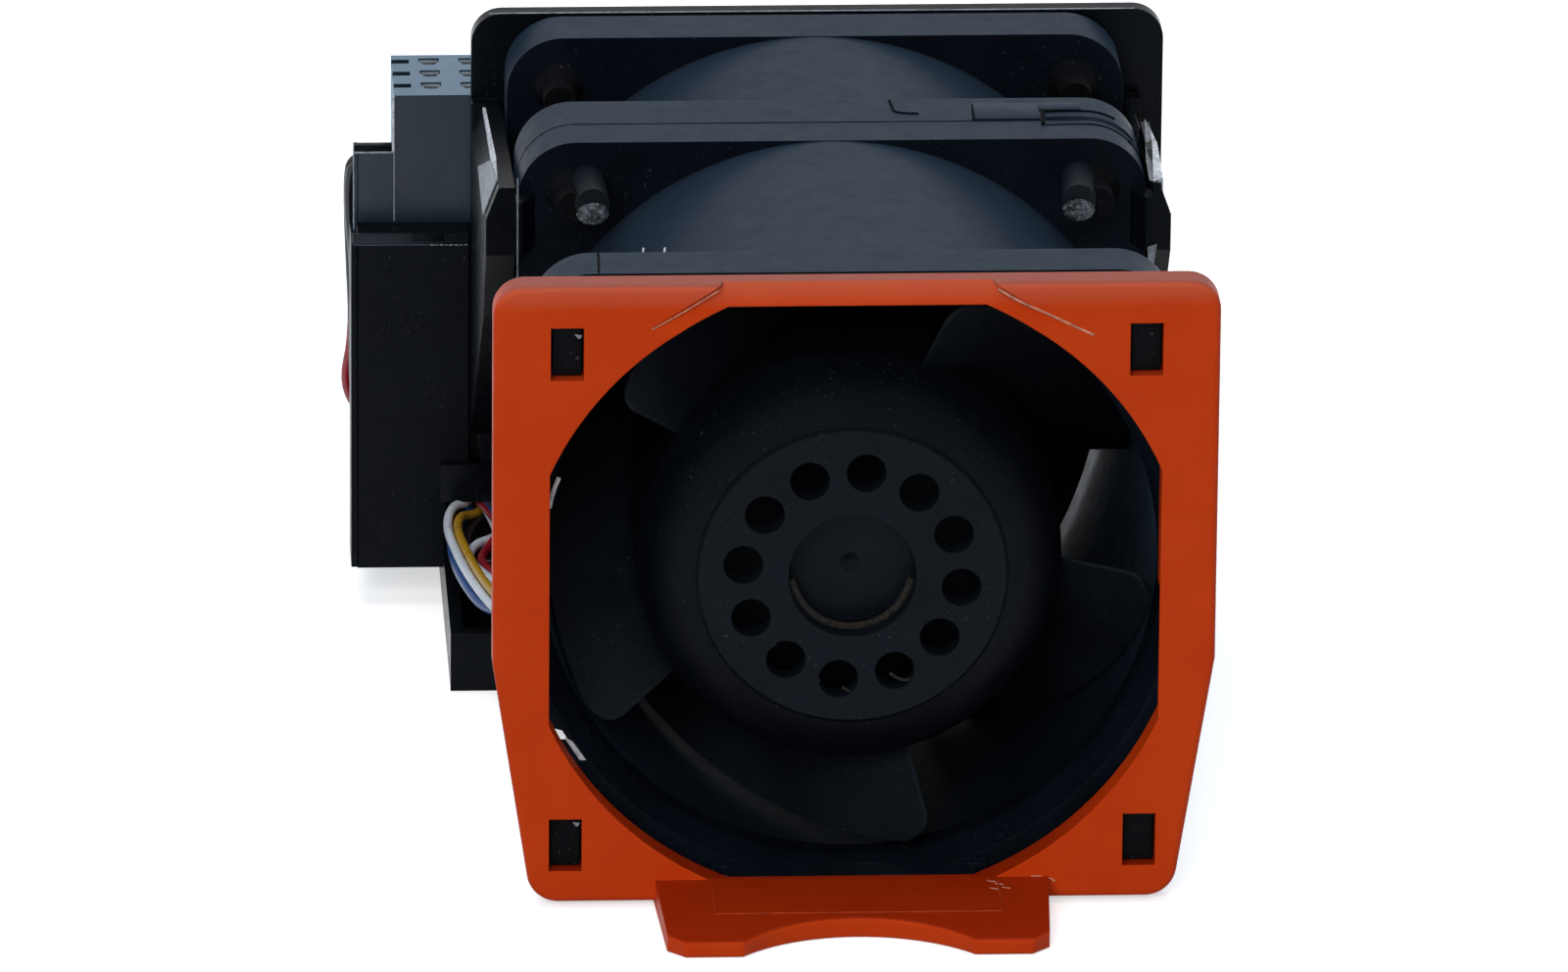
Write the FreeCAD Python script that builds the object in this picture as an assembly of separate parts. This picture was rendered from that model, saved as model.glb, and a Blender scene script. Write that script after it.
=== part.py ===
"""Server fan module: two counter-rotating 60 mm fans in series between an orange
bezel and a black carrier, with a blind-mate power connector on the left side.

Frame: millimetres, +Z up, +Y along the airflow (intake to outlet), +X to the right as
seen from the intake.  The origin is on the fan axis, in the bezel's front face.
"""
import FreeCAD, Part
import math
import os

Vector = FreeCAD.Vector
AXIS = Vector(0, 1, 0)

# ---------------------------------------------------------------- driving sizes, mm
# bezel
BEZEL_THICK = 3.0
BEZEL_OVERHANG = 3.9              # past the fan's sides
FOOT_OVERHANG = 0.2               # the same at the bottom, after the taper
BEZEL_TOP_OVERHANG = 0.5
BEZEL_BOTTOM_OVERHANG = 0.9
TAPER_START = 7.0                 # below the fan axis
BEZEL_CORNER = 3.0
BEZEL_ROUND = 0.6                 # round-over of the bezel's front edges
OPENING_MARGIN = 2.2              # opening's arcs outside the fan bore
OPENING_DROP = 0.6                # its centre below the fan axis
SIDE_FLAT_INSET = 2.6             # opening's flats inside its arcs
TOP_FLAT_INSET = 2.4
BOTTOM_FLAT_INSET = 3.1
SKIN_THICK = 0.7                  # bezel in front of the recess under the opening
RECESS_FLOOR = 0.2                # its floor below the fan
SLOT_WIDTH = 3.1
SLOT_HEIGHT = 5.2
SLOT_OUT = 2.0                    # slot centre outside the fan's corner hole, sideways
SLOT_UPPER_SHIFT = -1.2           # the same, up and down
SLOT_LOWER_SHIFT = 0.1
RAMP_DEPTH = 1.1                  # how far the top bar's middle leans back
RAMP_HEIGHT = 4.6                 # of the leaning part, down from the bezel's top
RAMP_HALF_WIDTH = 12.6
RAMP_RUN = 7.2                    # sideways run of each slanted end
# finger tab under the opening
TAB_HALF_WIDTH = 18.7
TAB_END_HALF_WIDTH = 17.9
TAB_REACH = 13.3
TAB_SCOOP_HALF_WIDTH = 10.8
TAB_SCOOP_REACH = 8.5
TAB_CHAMFER = 1.6
TAB_ROOT_THICK = 2.7
TAB_LIP = 1.6                     # thickness at the tab's front edge
TAB_ROUND = 0.35
# fans
FAN_SIZE = 60.0
FAN_CORNER = 5.5
HOLE_INSET = 5.0                  # corner hole centres from the fan's sides
HOLE_DIA = 4.3
FAN_FRONT = 5.0                   # intake face of the front fan
FRONT_FAN_LENGTH = 43.35
REAR_FAN_LENGTH = 32.65
FRONT_OUTER_FLANGE = 6.0
FRONT_SEAM_FLANGE = 5.45
REAR_SEAM_FLANGE = 6.75
REAR_OUTER_FLANGE = 6.7
BARREL_WALL = 0.95
BARREL_SET_IN = 0.05              # barrel inside the flanges' sides
INLET_FLARE = 1.8
INLET_FLARE_DEPTH = 4.5
OUTLET_FLARE = 0.7
OUTLET_FLARE_DEPTH = 2.5
FLARE_WALL = 0.5                  # left between the flare and the frame's sides
LIP_WALL = 0.45                   # of the inlet's lip in the side pockets
POCKET_HALF_HEIGHT = 18.6         # side pocket of the front fan's outer flange
KEY_HALF_WIDTH = 12.0             # ledge of the front fan in the bezel's recess
KEY_THICK = 0.7
KEY_PLAY = 0.2
TIP_CLEARANCE = 0.6
# hub and blades
HUB_RADIUS = 20.0
HUB_FACE_STEP_IN = 5.6            # flat face inside the hub's radius
HUB_SHOULDER = 7.6                # axial length of the rounded shoulder
HUB_FACE_THICK = 2.2
HUB_WALL = 2.55
HUB_HOLES = 12
HUB_HOLE_INSET = 4.07             # hole circle inside the flat face's edge
HUB_HOLE_DIA = 3.75
HUB_HOLE_ANGLE = 143.2
HUB_RECESS_DIA = 12.1
HUB_RECESS_FLOOR_DIA = 11.4
HUB_RECESS_DEPTH = 3.8
HUB_RECESS_WALL = 1.4
HUB_DIMPLE_DIA = 2.0
HUB_DIMPLE_DEPTH = 0.6
HUB_EDGE = 0.35                   # chamfer round the flat face
NOSE_BORE_WALL = 2.5              # round the shaft, in front of the motor
WEB_THICK = 1.5
NOSE_EDGE = 1.65                  # straight side of the hollow in front of the web
FRONT_HUB_PROUD = 0.7             # hub face in front of the intake face
REAR_HUB_SET_BACK = 0.35
REAR_HUB_ROUND = 2.2
FRONT_BLADES = 5
REAR_BLADES = 4
FRONT_BLADE_ANGLE = 70.3          # leading edge of the first blade
REAR_BLADE_ANGLE = 40.0
FRONT_BLADE_START = 9.0           # clear of the motor base, from the seam
FRONT_BLADE_END = 38.2            # leading edge at the hub
FRONT_BLADE_SWEEP = 4.6           # leading edge at the tip, ahead of that
REAR_BLADE_START = 8.0
REAR_BLADE_END = 29.0
FRONT_WRAP = 70.0
REAR_WRAP = 54.0
BLADE_THICK = 1.5
BLADE_EDGE = 0.35                 # thickness of the leading edge
BLADE_TAIL = 0.8                  # and of the trailing edge
TIP_ROUNDING = 3.2
TIP_ROUNDING_SHARE = 0.12         # part of the blade's length that is rounded
# motor, the same in both fans, measured from the seam
BASE_THICK = 1.6
BASE_STEP_IN = 1.0                # motor base inside the hub's radius
RIM_WALL = 1.2
RIM_HEIGHT = 4.6
HUB_GAP = 0.6                     # hub rim above the motor base rim
STRUT_COUNT = 4
STRUT_WIDTH = 6.2
STRUT_HEIGHT = 4.2
BOSS_RADIUS = 7.0
BOARD_PLAY = 1.2                  # circuit board to the base's rim
BOARD_THICK = 1.0
BEARING_OUTER = 8.0
BEARING_WIDTH = 4.0
SHAFT_DIA = 3.0
SHAFT_FIT = 0.05                  # radial running fit
TUBE_WALL = 1.0
TUBE_LEDGE = 0.6
LOWER_BEARING = 4.2
UPPER_BEARING = 22.0
CORE_START = 8.0
CORE_STACK = 12.0
AIR_GAP = 0.6                     # magnet to core
POLE_COUNT = 6
POLE_WIDTH = 3.4
SHOE_THICK = 1.6
SHOE_ARC = 44.0
CORE_WALL = 1.9                   # core's ring round the bearing tube
COIL_INSET = 1.4                  # coil clear of that ring
POLE_OVERLAP = 0.5                # poles run into the ring and the shoes
COIL_BUILD = 1.5
COIL_GAP = 0.05
MAGNET_THICK = 1.75
MAGNET_START = 7.5
MAGNET_LENGTH = 14.5
GLUE_LINE = 0.05
YOKE_WALL = 1.0
YOKE_START = 6.4
YOKE_LENGTH = 24.7
YOKE_BUSH_RADIUS = 3.2
SHAFT_END = 31.6
RING_THICK = 0.5
RING_GAP = 0.2
RING_RADIUS = 2.6
GROOVE_DEPTH = 0.3
# carrier
PLATE_GAP = 1.0                   # rear fan to rear plate, taken by the rubber collars
PLATE_THICK = 2.0
PLATE_OVERHANG = 3.8              # past the fan's sides, about its own middle
PLATE_SHIFT = 0.6                 # its middle right of the fan axis
PLATE_FOOT_OVERHANG = 1.0
ARM_GAP = 0.4                     # fan side to arm
LEFT_ARM_THICK = 2.8
RIGHT_ARM_THICK = 1.8
ARM_REAR_TOP = 21.2
ARM_FRONT_TOP = 26.4
ARM_BOTTOM = -13.5
ARM_BEVEL = 1.2                   # along the outer top edge
ARM_BEVEL_HEIGHT = 3.2
HOOK_BOTTOM = 19.6
HOOK_UNDERCUT = 9.0               # arm's lower edge drops by this behind the hook
HOOK_UNDERCUT_RUN = 8.0
HOOK_TOP_SET_IN = 1.5             # hook below the arm's top
HOOK_DEPTH = 1.9
HOOK_NOSE = 0.65                  # hook's depth at its front end
HOOK_LENGTH = 2.4
HOOK_PLAY = 0.2
TROUGH_WIDTH = 5.9                # outboard of the fan side
TROUGH_WALL = 1.3
TROUGH_HEIGHT = 6.0
TROUGH_FRONT = 9.65               # behind the seam
TROUGH_REAR = 13.0                # behind the carrier's plate
NOTCH_TOP = -16.6
NOTCH_BOTTOM = -22.8
# connector housing and connector
HOUSING_OUT = 14.3                # left of the fan's side
HOUSING_TOP = 7.4
HOUSING_BOTTOM = -27.4
HOUSING_REAR = 15.0               # behind the carrier's plate
HOUSING_WALL = 1.2
HOUSING_MOUTH_OUT = 5.6
EDGE_PLAY = 0.2
BLOCK_OUT = 10.6                  # left of the fan's side
BLOCK_SET_BACK = 3.5              # behind the carrier's front face
BLOCK_DEPTH = 12.4
BLOCK_TOP = 20.5
BLOCK_ROOT = 2.4                  # length held inside the housing
SHOULDER_TOP = 14.7
ENTRY_TOP = 12.1                  # lower part behind the shoulder, where the leads go in
ENTRY_REAR_SET_IN = 3.0
SHOULDER_THICK = 2.2
SHOULDER_SET_BACK = 2.3
SOCKET_ROWS = 3
SOCKET_ROW_PITCH = 3.7
SOCKET_FRONT_SET_IN = 3.0         # first row behind the block's front
SOCKET_COLUMNS = 2
SOCKET_COLUMN_PITCH = 3.9
SOCKET_SIDE_SET_IN = 3.7          # first column from the block's left side
SOCKET_WIDTH = 2.0
SOCKET_NARROW_WIDTH = 1.1         # on the side towards the fans
SOCKET_DEPTH_Y = 1.9
SOCKET_DEPTH = 9.0
CONTACT_WIDTH = 1.0
CONTACT_SLIT = 0.4
CONTACT_FOOT = 1.2
CONTACT_STEM = 4.5
RIB_SLOT = 1.2
RIB_SLOT_LENGTH = 1.75
RIB_SLOT_DEPTH = 5.0
# rubber parts and leads
COLLAR_DIA = 7.0
PLUG_PLAY = 0.05
TAIL_DIA = 3.2
TAIL_LENGTH = 4.6
BULB_DIA = 4.9
BULB_LENGTH = 1.0
TONGUE_PLAY = 0.2
TONGUE_SET_BACK = 1.2
WIRE_DIA = 0.9
WIRE_PITCH = 1.08
LEAD_PLAY = 0.2                   # round the leads in their tunnel
FRONT_LEAD_DROP = 17.5            # where the leads leave the frame's side, below the axis
REAR_LEAD_DROP = 21.5

# ---------------------------------------------------------------- derived places
HALF_FAN = FAN_SIZE / 2
HALF_SPACING = HALF_FAN - HOLE_INSET
SEAM = FAN_FRONT + FRONT_FAN_LENGTH
FAN_REAR = SEAM + REAR_FAN_LENGTH
BARREL_RADIUS = HALF_FAN - BARREL_SET_IN
BORE_RADIUS = BARREL_RADIUS - BARREL_WALL
TIP_RADIUS = BORE_RADIUS - TIP_CLEARANCE
OPENING_RADIUS = BORE_RADIUS + OPENING_MARGIN
OPENING_FLAT_SIDE = OPENING_RADIUS - SIDE_FLAT_INSET
OPENING_FLAT_TOP = OPENING_RADIUS - TOP_FLAT_INSET - OPENING_DROP
OPENING_FLAT_BOTTOM = OPENING_RADIUS - BOTTOM_FLAT_INSET + OPENING_DROP
BEZEL_HALF_WIDTH = HALF_FAN + BEZEL_OVERHANG
BEZEL_FOOT_HALF_WIDTH = HALF_FAN + FOOT_OVERHANG
BEZEL_TOP = HALF_FAN + BEZEL_TOP_OVERHANG
BEZEL_BOTTOM = HALF_FAN + BEZEL_BOTTOM_OVERHANG
BASE_DROP = OPENING_FLAT_BOTTOM + TAB_ROOT_THICK     # plane the module rests on, below the axis
SLOT_OFFSET = HALF_SPACING + SLOT_OUT
SLOT_UP = HALF_SPACING + SLOT_UPPER_SHIFT
SLOT_DOWN = HALF_SPACING + SLOT_LOWER_SHIFT
PLATE_FRONT = FAN_REAR + PLATE_GAP
PLATE_REAR = PLATE_FRONT + PLATE_THICK
PLATE_TOP = HALF_FAN
PLATE_HALF_WIDTH = HALF_FAN + PLATE_OVERHANG
PLATE_FOOT_HALF_WIDTH = HALF_FAN + PLATE_FOOT_OVERHANG
PLATE_LEFT = PLATE_HALF_WIDTH - PLATE_SHIFT
HUB_FACE_RADIUS = HUB_RADIUS - HUB_FACE_STEP_IN
HUB_HOLE_RING = HUB_FACE_RADIUS - HUB_HOLE_INSET
BASE_RADIUS = HUB_RADIUS - BASE_STEP_IN
BOARD_RADIUS = BASE_RADIUS - RIM_WALL - BOARD_PLAY
CUP_RADIUS = HUB_RADIUS - HUB_WALL
YOKE_RADIUS = CUP_RADIUS - GLUE_LINE
MAGNET_OUTER = YOKE_RADIUS - YOKE_WALL - GLUE_LINE
MAGNET_INNER = MAGNET_OUTER - MAGNET_THICK
CORE_RADIUS = MAGNET_INNER - AIR_GAP
SHAFT_RADIUS = SHAFT_DIA / 2
TUBE_INNER = BEARING_OUTER / 2
TUBE_OUTER = TUBE_INNER + TUBE_WALL
TUBE_END = UPPER_BEARING + BEARING_WIDTH
BOSS_TOP = BASE_THICK + WIRE_DIA + LEAD_PLAY
HUB_START = RIM_HEIGHT + HUB_GAP
YOKE_END = YOKE_START + YOKE_LENGTH
FRONT_LEAD_ANGLE = 180 + math.degrees(math.atan2(FRONT_LEAD_DROP, HALF_FAN))
REAR_LEAD_ANGLE = 180 + math.degrees(math.atan2(REAR_LEAD_DROP, HALF_FAN))
LEAD_HEIGHT = BASE_THICK + WIRE_DIA / 2 + LEAD_PLAY / 4
LEAD_TUNNEL_WIDTH = 3 * WIRE_PITCH + WIRE_DIA + 1.5 * LEAD_PLAY
POST_RADIUS = 9.0                 # solder posts on the circuit boards
BLOCK_RIGHT = OPENING_FLAT_SIDE
BLOCK_LEFT = HALF_FAN + BLOCK_OUT
HOUSING_LEFT = HALF_FAN + HOUSING_OUT
HOUSING_MOUTH_LEFT = HALF_FAN + HOUSING_MOUTH_OUT
HOUSING_END = PLATE_REAR + HOUSING_REAR
TROUGH_START = SEAM + TROUGH_FRONT
TROUGH_END = PLATE_REAR + TROUGH_REAR
BLOCK_FRONT = PLATE_FRONT + BLOCK_SET_BACK
BLOCK_REAR = BLOCK_FRONT + BLOCK_DEPTH


# ---------------------------------------------------------------- shape helpers
def box(x0, x1, y0, y1, z0, z1):
    """Box between two corners, given in any order."""
    low = Vector(min(x0, x1), min(y0, y1), min(z0, z1))
    return Part.makeBox(abs(x1 - x0), abs(y1 - y0), abs(z1 - z0), low)


def rod(radius, y0, y1, x=0.0, z=0.0):
    """Solid cylinder along the airflow."""
    return Part.makeCylinder(radius, abs(y1 - y0), Vector(x, min(y0, y1), z), AXIS)


def ring(inner, outer, y0, y1, x=0.0, z=0.0):
    """Tube along the airflow."""
    return rod(outer, y0, y1, x, z).cut(rod(inner, y0, y1, x, z))


def wire_of(edges):
    return Part.Wire(Part.__sortEdges__(edges))


def line(a, b):
    return Part.LineSegment(a, b).toShape()


def arc(a, middle, b):
    return Part.Arc(a, middle, b).toShape()


def turned(outline):
    """Solid of revolution about the fan axis.  outline is a closed list of (radius, y),
    and a corner given as (radius, y, "arc") is the middle point of an arc."""
    points = [Vector(p[0], p[1], 0) for p in outline]
    edges = []
    i = 0
    count = len(outline)
    while i < count:
        after = (i + 1) % count
        if len(outline[after]) == 3:
            edges.append(arc(points[i], points[after], points[(i + 2) % count]))
            i += 2
        else:
            edges.append(line(points[i], points[after]))
            i += 1
    return Part.Face(wire_of(edges)).revolve(Vector(0, 0, 0), AXIS, 360)


def polygon(corners, y0, y1, radii=None):
    """Prism along the airflow from (x, z) corners, each rounded by its radius."""
    points = [Vector(x, y0, z) for x, z in corners]
    count = len(points)
    radii = radii or [0] * count
    edges = []
    starts = []
    ends = []
    middles = []
    for i, point in enumerate(points):
        before = (points[i - 1] - point).normalize()
        after = (points[(i + 1) % count] - point).normalize()
        half = before.getAngle(after) / 2
        reach = radii[i] / math.tan(half)
        bisector = (before + after).normalize()
        starts.append(point + before * reach)
        ends.append(point + after * reach)
        middles.append(point + bisector * (radii[i] / math.sin(half) - radii[i]))
    for i in range(count):
        if radii[i]:
            edges.append(arc(starts[i], middles[i], ends[i]))
        edges.append(line(ends[i], starts[(i + 1) % count]))
    return Part.Face(wire_of(edges)).extrude(Vector(0, y1 - y0, 0))


def fused(shapes):
    whole = shapes[0].fuse(shapes[1:]) if len(shapes) > 1 else shapes[0]
    return whole.removeSplitter()


def around(shape, angle):
    """Turn a copy about the fan axis; angle runs from +X towards +Z, in degrees."""
    copy = shape.copy()
    copy.rotate(Vector(0, 0, 0), AXIS, -angle)
    return copy


def corners_of(half):
    return [(sx * half, sz * half) for sx in (-1, 1) for sz in (-1, 1)]


def save(name, shape):
    shape.exportStep(os.path.join("parts", name + ".step"))


# ---------------------------------------------------------------- bezel
def panel_outline(half_width, foot_half_width, top, bottom):
    return [(-half_width, top), (half_width, top), (half_width, -TAPER_START),
            (foot_half_width, -bottom), (-foot_half_width, -bottom),
            (-half_width, -TAPER_START)]


PANEL_RADII = [BEZEL_CORNER, BEZEL_CORNER, 0, BEZEL_CORNER, BEZEL_CORNER, 0]


def air_opening(y0, y1):
    """Round opening with flats on all sides, cut through the bezel and the rear plate."""
    flats = box(-OPENING_FLAT_SIDE, OPENING_FLAT_SIDE, y0, y1, -OPENING_FLAT_BOTTOM,
                OPENING_FLAT_TOP)
    return rod(OPENING_RADIUS, y0, y1, 0, -OPENING_DROP).common(flats)


def slot_centres():
    return [(sx * SLOT_OFFSET, z) for sx in (-1, 1) for z in (SLOT_UP, -SLOT_DOWN)]


def finger_tab():
    """Ledge under the opening, scooped for a fingertip."""
    scoop = TAB_SCOOP_HALF_WIDTH
    root = BEZEL_THICK
    side = TAB_REACH - TAB_CHAMFER

    def at(x, y):
        return Vector(x, y, -BASE_DROP)

    shoulder = [at(TAB_HALF_WIDTH, root), at(TAB_END_HALF_WIDTH, -side),
                at(TAB_END_HALF_WIDTH - TAB_CHAMFER, -TAB_REACH), at(scoop, -TAB_REACH)]
    mirrored = [at(-p.x, p.y) for p in reversed(shoulder)]
    edges = [line(a, b) for a, b in zip(shoulder, shoulder[1:])]
    edges.append(arc(shoulder[-1], at(0, -TAB_SCOOP_REACH), mirrored[0]))
    edges += [line(a, b) for a, b in zip(mirrored, mirrored[1:])]
    edges.append(line(mirrored[-1], shoulder[0]))
    tab = Part.Face(wire_of(edges)).extrude(Vector(0, 0, TAB_ROOT_THICK))
    slope = [Vector(-TAB_HALF_WIDTH - 1, 0, -OPENING_FLAT_BOTTOM),
             Vector(-TAB_HALF_WIDTH - 1, -TAB_REACH, TAB_LIP - BASE_DROP),
             Vector(-TAB_HALF_WIDTH - 1, -TAB_REACH, 0), Vector(-TAB_HALF_WIDTH - 1, 0, 0)]
    above = Part.Face(Part.makePolygon(slope + slope[:1])).extrude(Vector(2 * TAB_HALF_WIDTH + 2, 0, 0))
    tab = tab.cut(above)
    front = [e for e in tab.Edges if max(v.Y for v in e.Vertexes) < -TAB_SCOOP_REACH]
    return tab.makeFillet(TAB_ROUND, front)


def top_ramp():
    """Cut that leans the middle of the top bar back, with a slanted end each side."""
    over = 1.0
    rise = RAMP_HEIGHT + over
    low = BEZEL_TOP - RAMP_HEIGHT
    lean = [Vector(0, 0, low), Vector(0, RAMP_DEPTH * rise / RAMP_HEIGHT, low + rise),
            Vector(0, -over, low + rise), Vector(0, -over, low)]
    half = RAMP_HALF_WIDTH + RAMP_RUN + over
    wedge = Part.Face(Part.makePolygon(lean + lean[:1])).extrude(Vector(half, 0, 0))
    wedge = wedge.fuse(wedge.mirror(Vector(0, 0, 0), Vector(1, 0, 0)))
    slant = RAMP_RUN / RAMP_HEIGHT
    inner = RAMP_HALF_WIDTH - over * slant
    outer = RAMP_HALF_WIDTH + RAMP_RUN
    ends = polygon([(-inner, low + rise), (inner, low + rise), (outer, low), (-outer, low)],
                   -over, BEZEL_THICK)
    return wedge.common(ends)


def finger_recess():
    """Room behind the opening's lower edge, which follows the opening's circle."""
    room = box(-OPENING_RADIUS, OPENING_RADIUS, SKIN_THICK, BEZEL_THICK + 1,
               -HALF_FAN - RECESS_FLOOR, 0)
    return rod(OPENING_RADIUS, SKIN_THICK, BEZEL_THICK + 1, 0, -OPENING_DROP).common(room)


def bezel():
    outline = panel_outline(BEZEL_HALF_WIDTH, BEZEL_FOOT_HALF_WIDTH, BEZEL_TOP, BEZEL_BOTTOM)
    plate = polygon(outline, 0, BEZEL_THICK, PANEL_RADII)
    rim = [e for e in plate.Edges if all(abs(v.Y) < 0.01 for v in e.Vertexes)]
    plate = plate.makeFillet(BEZEL_ROUND, rim)
    plate = plate.cut(air_opening(-1, BEZEL_THICK + 1))
    for x, z in slot_centres():
        plate = plate.cut(box(x - SLOT_WIDTH / 2, x + SLOT_WIDTH / 2, -1, BEZEL_THICK + 1,
                              z - SLOT_HEIGHT / 2, z + SLOT_HEIGHT / 2))
    plate = plate.cut(top_ramp())
    return fused([plate, finger_tab()]).cut(finger_recess())


# ---------------------------------------------------------------- fan housings
def flange(y0, y1):
    corners = [(-HALF_FAN, HALF_FAN), (HALF_FAN, HALF_FAN),
               (HALF_FAN, -HALF_FAN), (-HALF_FAN, -HALF_FAN)]
    return polygon(corners, y0, y1, [FAN_CORNER] * 4)


def flare_cut(y, length, widening, depth):
    """Widening of the bore at the fan's outer end, held inside the frame's sides."""
    cone = turned([(0, y(length + 0.01)), (BORE_RADIUS + widening, y(length + 0.01)),
                   (BORE_RADIUS, y(length - depth)), (0, y(length - depth))])
    reach = HALF_FAN - FLARE_WALL
    return cone.common(box(-reach, reach, y(length - depth), y(length + 0.01), -reach, reach))


def side_pocket(y, length, outer_flange):
    """Pocket in the left side of the front fan's outer flange, outside the inlet's lip."""
    lip = turned([(0, y(length)), (BORE_RADIUS + INLET_FLARE + LIP_WALL, y(length)),
                  (BARREL_RADIUS, y(length - INLET_FLARE_DEPTH)),
                  (BARREL_RADIUS, y(length - outer_flange)), (0, y(length - outer_flange))])
    slab = box(-HALF_FAN - 1, 0, y(length - outer_flange), y(length),
               -POCKET_HALF_HEIGHT, POCKET_HALF_HEIGHT)
    return slab.cut(lip)


def bezel_key():
    """Ledge of the front fan that stands in the recess of the bezel."""
    key = box(-KEY_HALF_WIDTH, KEY_HALF_WIDTH, SKIN_THICK + KEY_PLAY, FAN_FRONT + FLARE_WALL,
              -HALF_FAN, -HALF_FAN + KEY_THICK)
    return key.common(rod(OPENING_RADIUS - KEY_PLAY, 0, FAN_FRONT + 1, 0, -OPENING_DROP))


def housing(side, length, seam_flange, outer_flange, lead_angle):
    """Frame of one fan.  side is -1 for the front fan and +1 for the rear one; heights
    are counted from the seam between the two fans."""
    def y(height):
        return SEAM + side * height

    frame = fused([flange(y(0), y(seam_flange)), rod(BARREL_RADIUS, y(0), y(length)),
                   flange(y(length - outer_flange), y(length))])
    frame = frame.cut(rod(BORE_RADIUS, y(-1), y(length + 1)))
    if side < 0:
        frame = frame.cut(side_pocket(y, length, outer_flange))
        frame = frame.cut(flare_cut(y, length, INLET_FLARE, INLET_FLARE_DEPTH))
        frame = fused([frame, bezel_key()])
    else:
        frame = frame.cut(flare_cut(y, length, OUTLET_FLARE, OUTLET_FLARE_DEPTH))
    for x, z in corners_of(HALF_SPACING):
        frame = frame.cut(rod(HOLE_DIA / 2, y(-1), y(length + 1), x, z))
    base = turned([(0, y(0)), (BASE_RADIUS, y(0)), (BASE_RADIUS, y(RIM_HEIGHT)),
                   (BASE_RADIUS - RIM_WALL, y(RIM_HEIGHT)), (BASE_RADIUS - RIM_WALL, y(BASE_THICK)),
                   (BOSS_RADIUS, y(BASE_THICK)), (BOSS_RADIUS, y(BOSS_TOP)), (0, y(BOSS_TOP))])
    base = base.cut(rod(TUBE_OUTER, y(BASE_THICK), y(BOSS_TOP + 1)))
    strut = box(BASE_RADIUS - RIM_WALL / 2, BORE_RADIUS + BARREL_WALL / 2, y(0), y(STRUT_HEIGHT),
                -STRUT_WIDTH / 2, STRUT_WIDTH / 2)
    struts = [around(strut, lead_angle + i * 360 / STRUT_COUNT) for i in range(STRUT_COUNT)]
    frame = fused([frame, base] + struts)
    channel_top = BOSS_TOP
    tunnel = box(BOSS_RADIUS + 0.5, HALF_FAN * 1.5, y(BASE_THICK), y(channel_top),
                 -LEAD_TUNNEL_WIDTH / 2, LEAD_TUNNEL_WIDTH / 2)
    open_top = box(BASE_RADIUS - 2 * RIM_WALL, BORE_RADIUS - 0.4, y(BASE_THICK), y(RIM_HEIGHT + 1),
                   -LEAD_TUNNEL_WIDTH / 2, LEAD_TUNNEL_WIDTH / 2)
    return frame.cut(around(tunnel, lead_angle)).cut(around(open_top, lead_angle))


# ---------------------------------------------------------------- impellers
BLADE_SHARES = (0, 0.015, 0.05, 0.12, 0.22, 0.36, 0.5, 0.65, 0.8, 0.92, 1)


def blade_slice(y, angle, inner, outer, lean, thick):
    """Thin radial outline across the blade, at one station along it.  Its outer end lies
    further along the axis than its inner end, by lean for each millimetre of radius."""
    radial = Vector(math.cos(angle), lean, math.sin(angle))
    across = Vector(-math.sin(angle), 0, math.cos(angle)) * (thick / 2)

    def at(radius):
        return Vector(0, y - HUB_RADIUS * lean, 0) + radial * radius

    corners = [at(inner) - across, at(outer) - across, at(outer) + across, at(inner) + across]
    return Part.makePolygon(corners + corners[:1])


def blades(y_lead, y_trail, sweep, turn, count, first, wrap):
    """Twisted blades.  The blade falls back from its leading edge by the angle wrap, and
    its leading edge comes forward towards the tip by sweep."""
    root = HUB_RADIUS - HUB_WALL / 2
    span = TIP_RADIUS - HUB_RADIUS
    slices = []
    for share in BLADE_SHARES:
        fall = wrap * (1.3 * share - 0.3 * share * share)
        short = max(0, 1 - share / TIP_ROUNDING_SHARE)
        outer = TIP_RADIUS + 0.6 - TIP_ROUNDING * (1 - math.sqrt(1 - short ** 2))
        edge = BLADE_EDGE if share < 0.5 else BLADE_TAIL
        thick = edge + (BLADE_THICK - edge) * min(1, 2.2 * math.sin(math.pi * share))
        y = y_lead + (y_trail - y_lead) * share
        lean = sweep / span * (1 - share)
        angle = math.radians(first - turn * fall)
        slices.append(blade_slice(y, angle, root, outer, lean, thick))
    blade = Part.makeLoft(slices, True, False)
    if blade.Volume < 0:
        blade.reverse()
    reach = abs(y_trail - y_lead) + abs(sweep)
    blade = blade.common(rod(TIP_RADIUS, min(y_lead, y_trail) - reach, max(y_lead, y_trail) + reach))
    return [around(blade, i * 360 / count) for i in range(count)]


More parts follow.
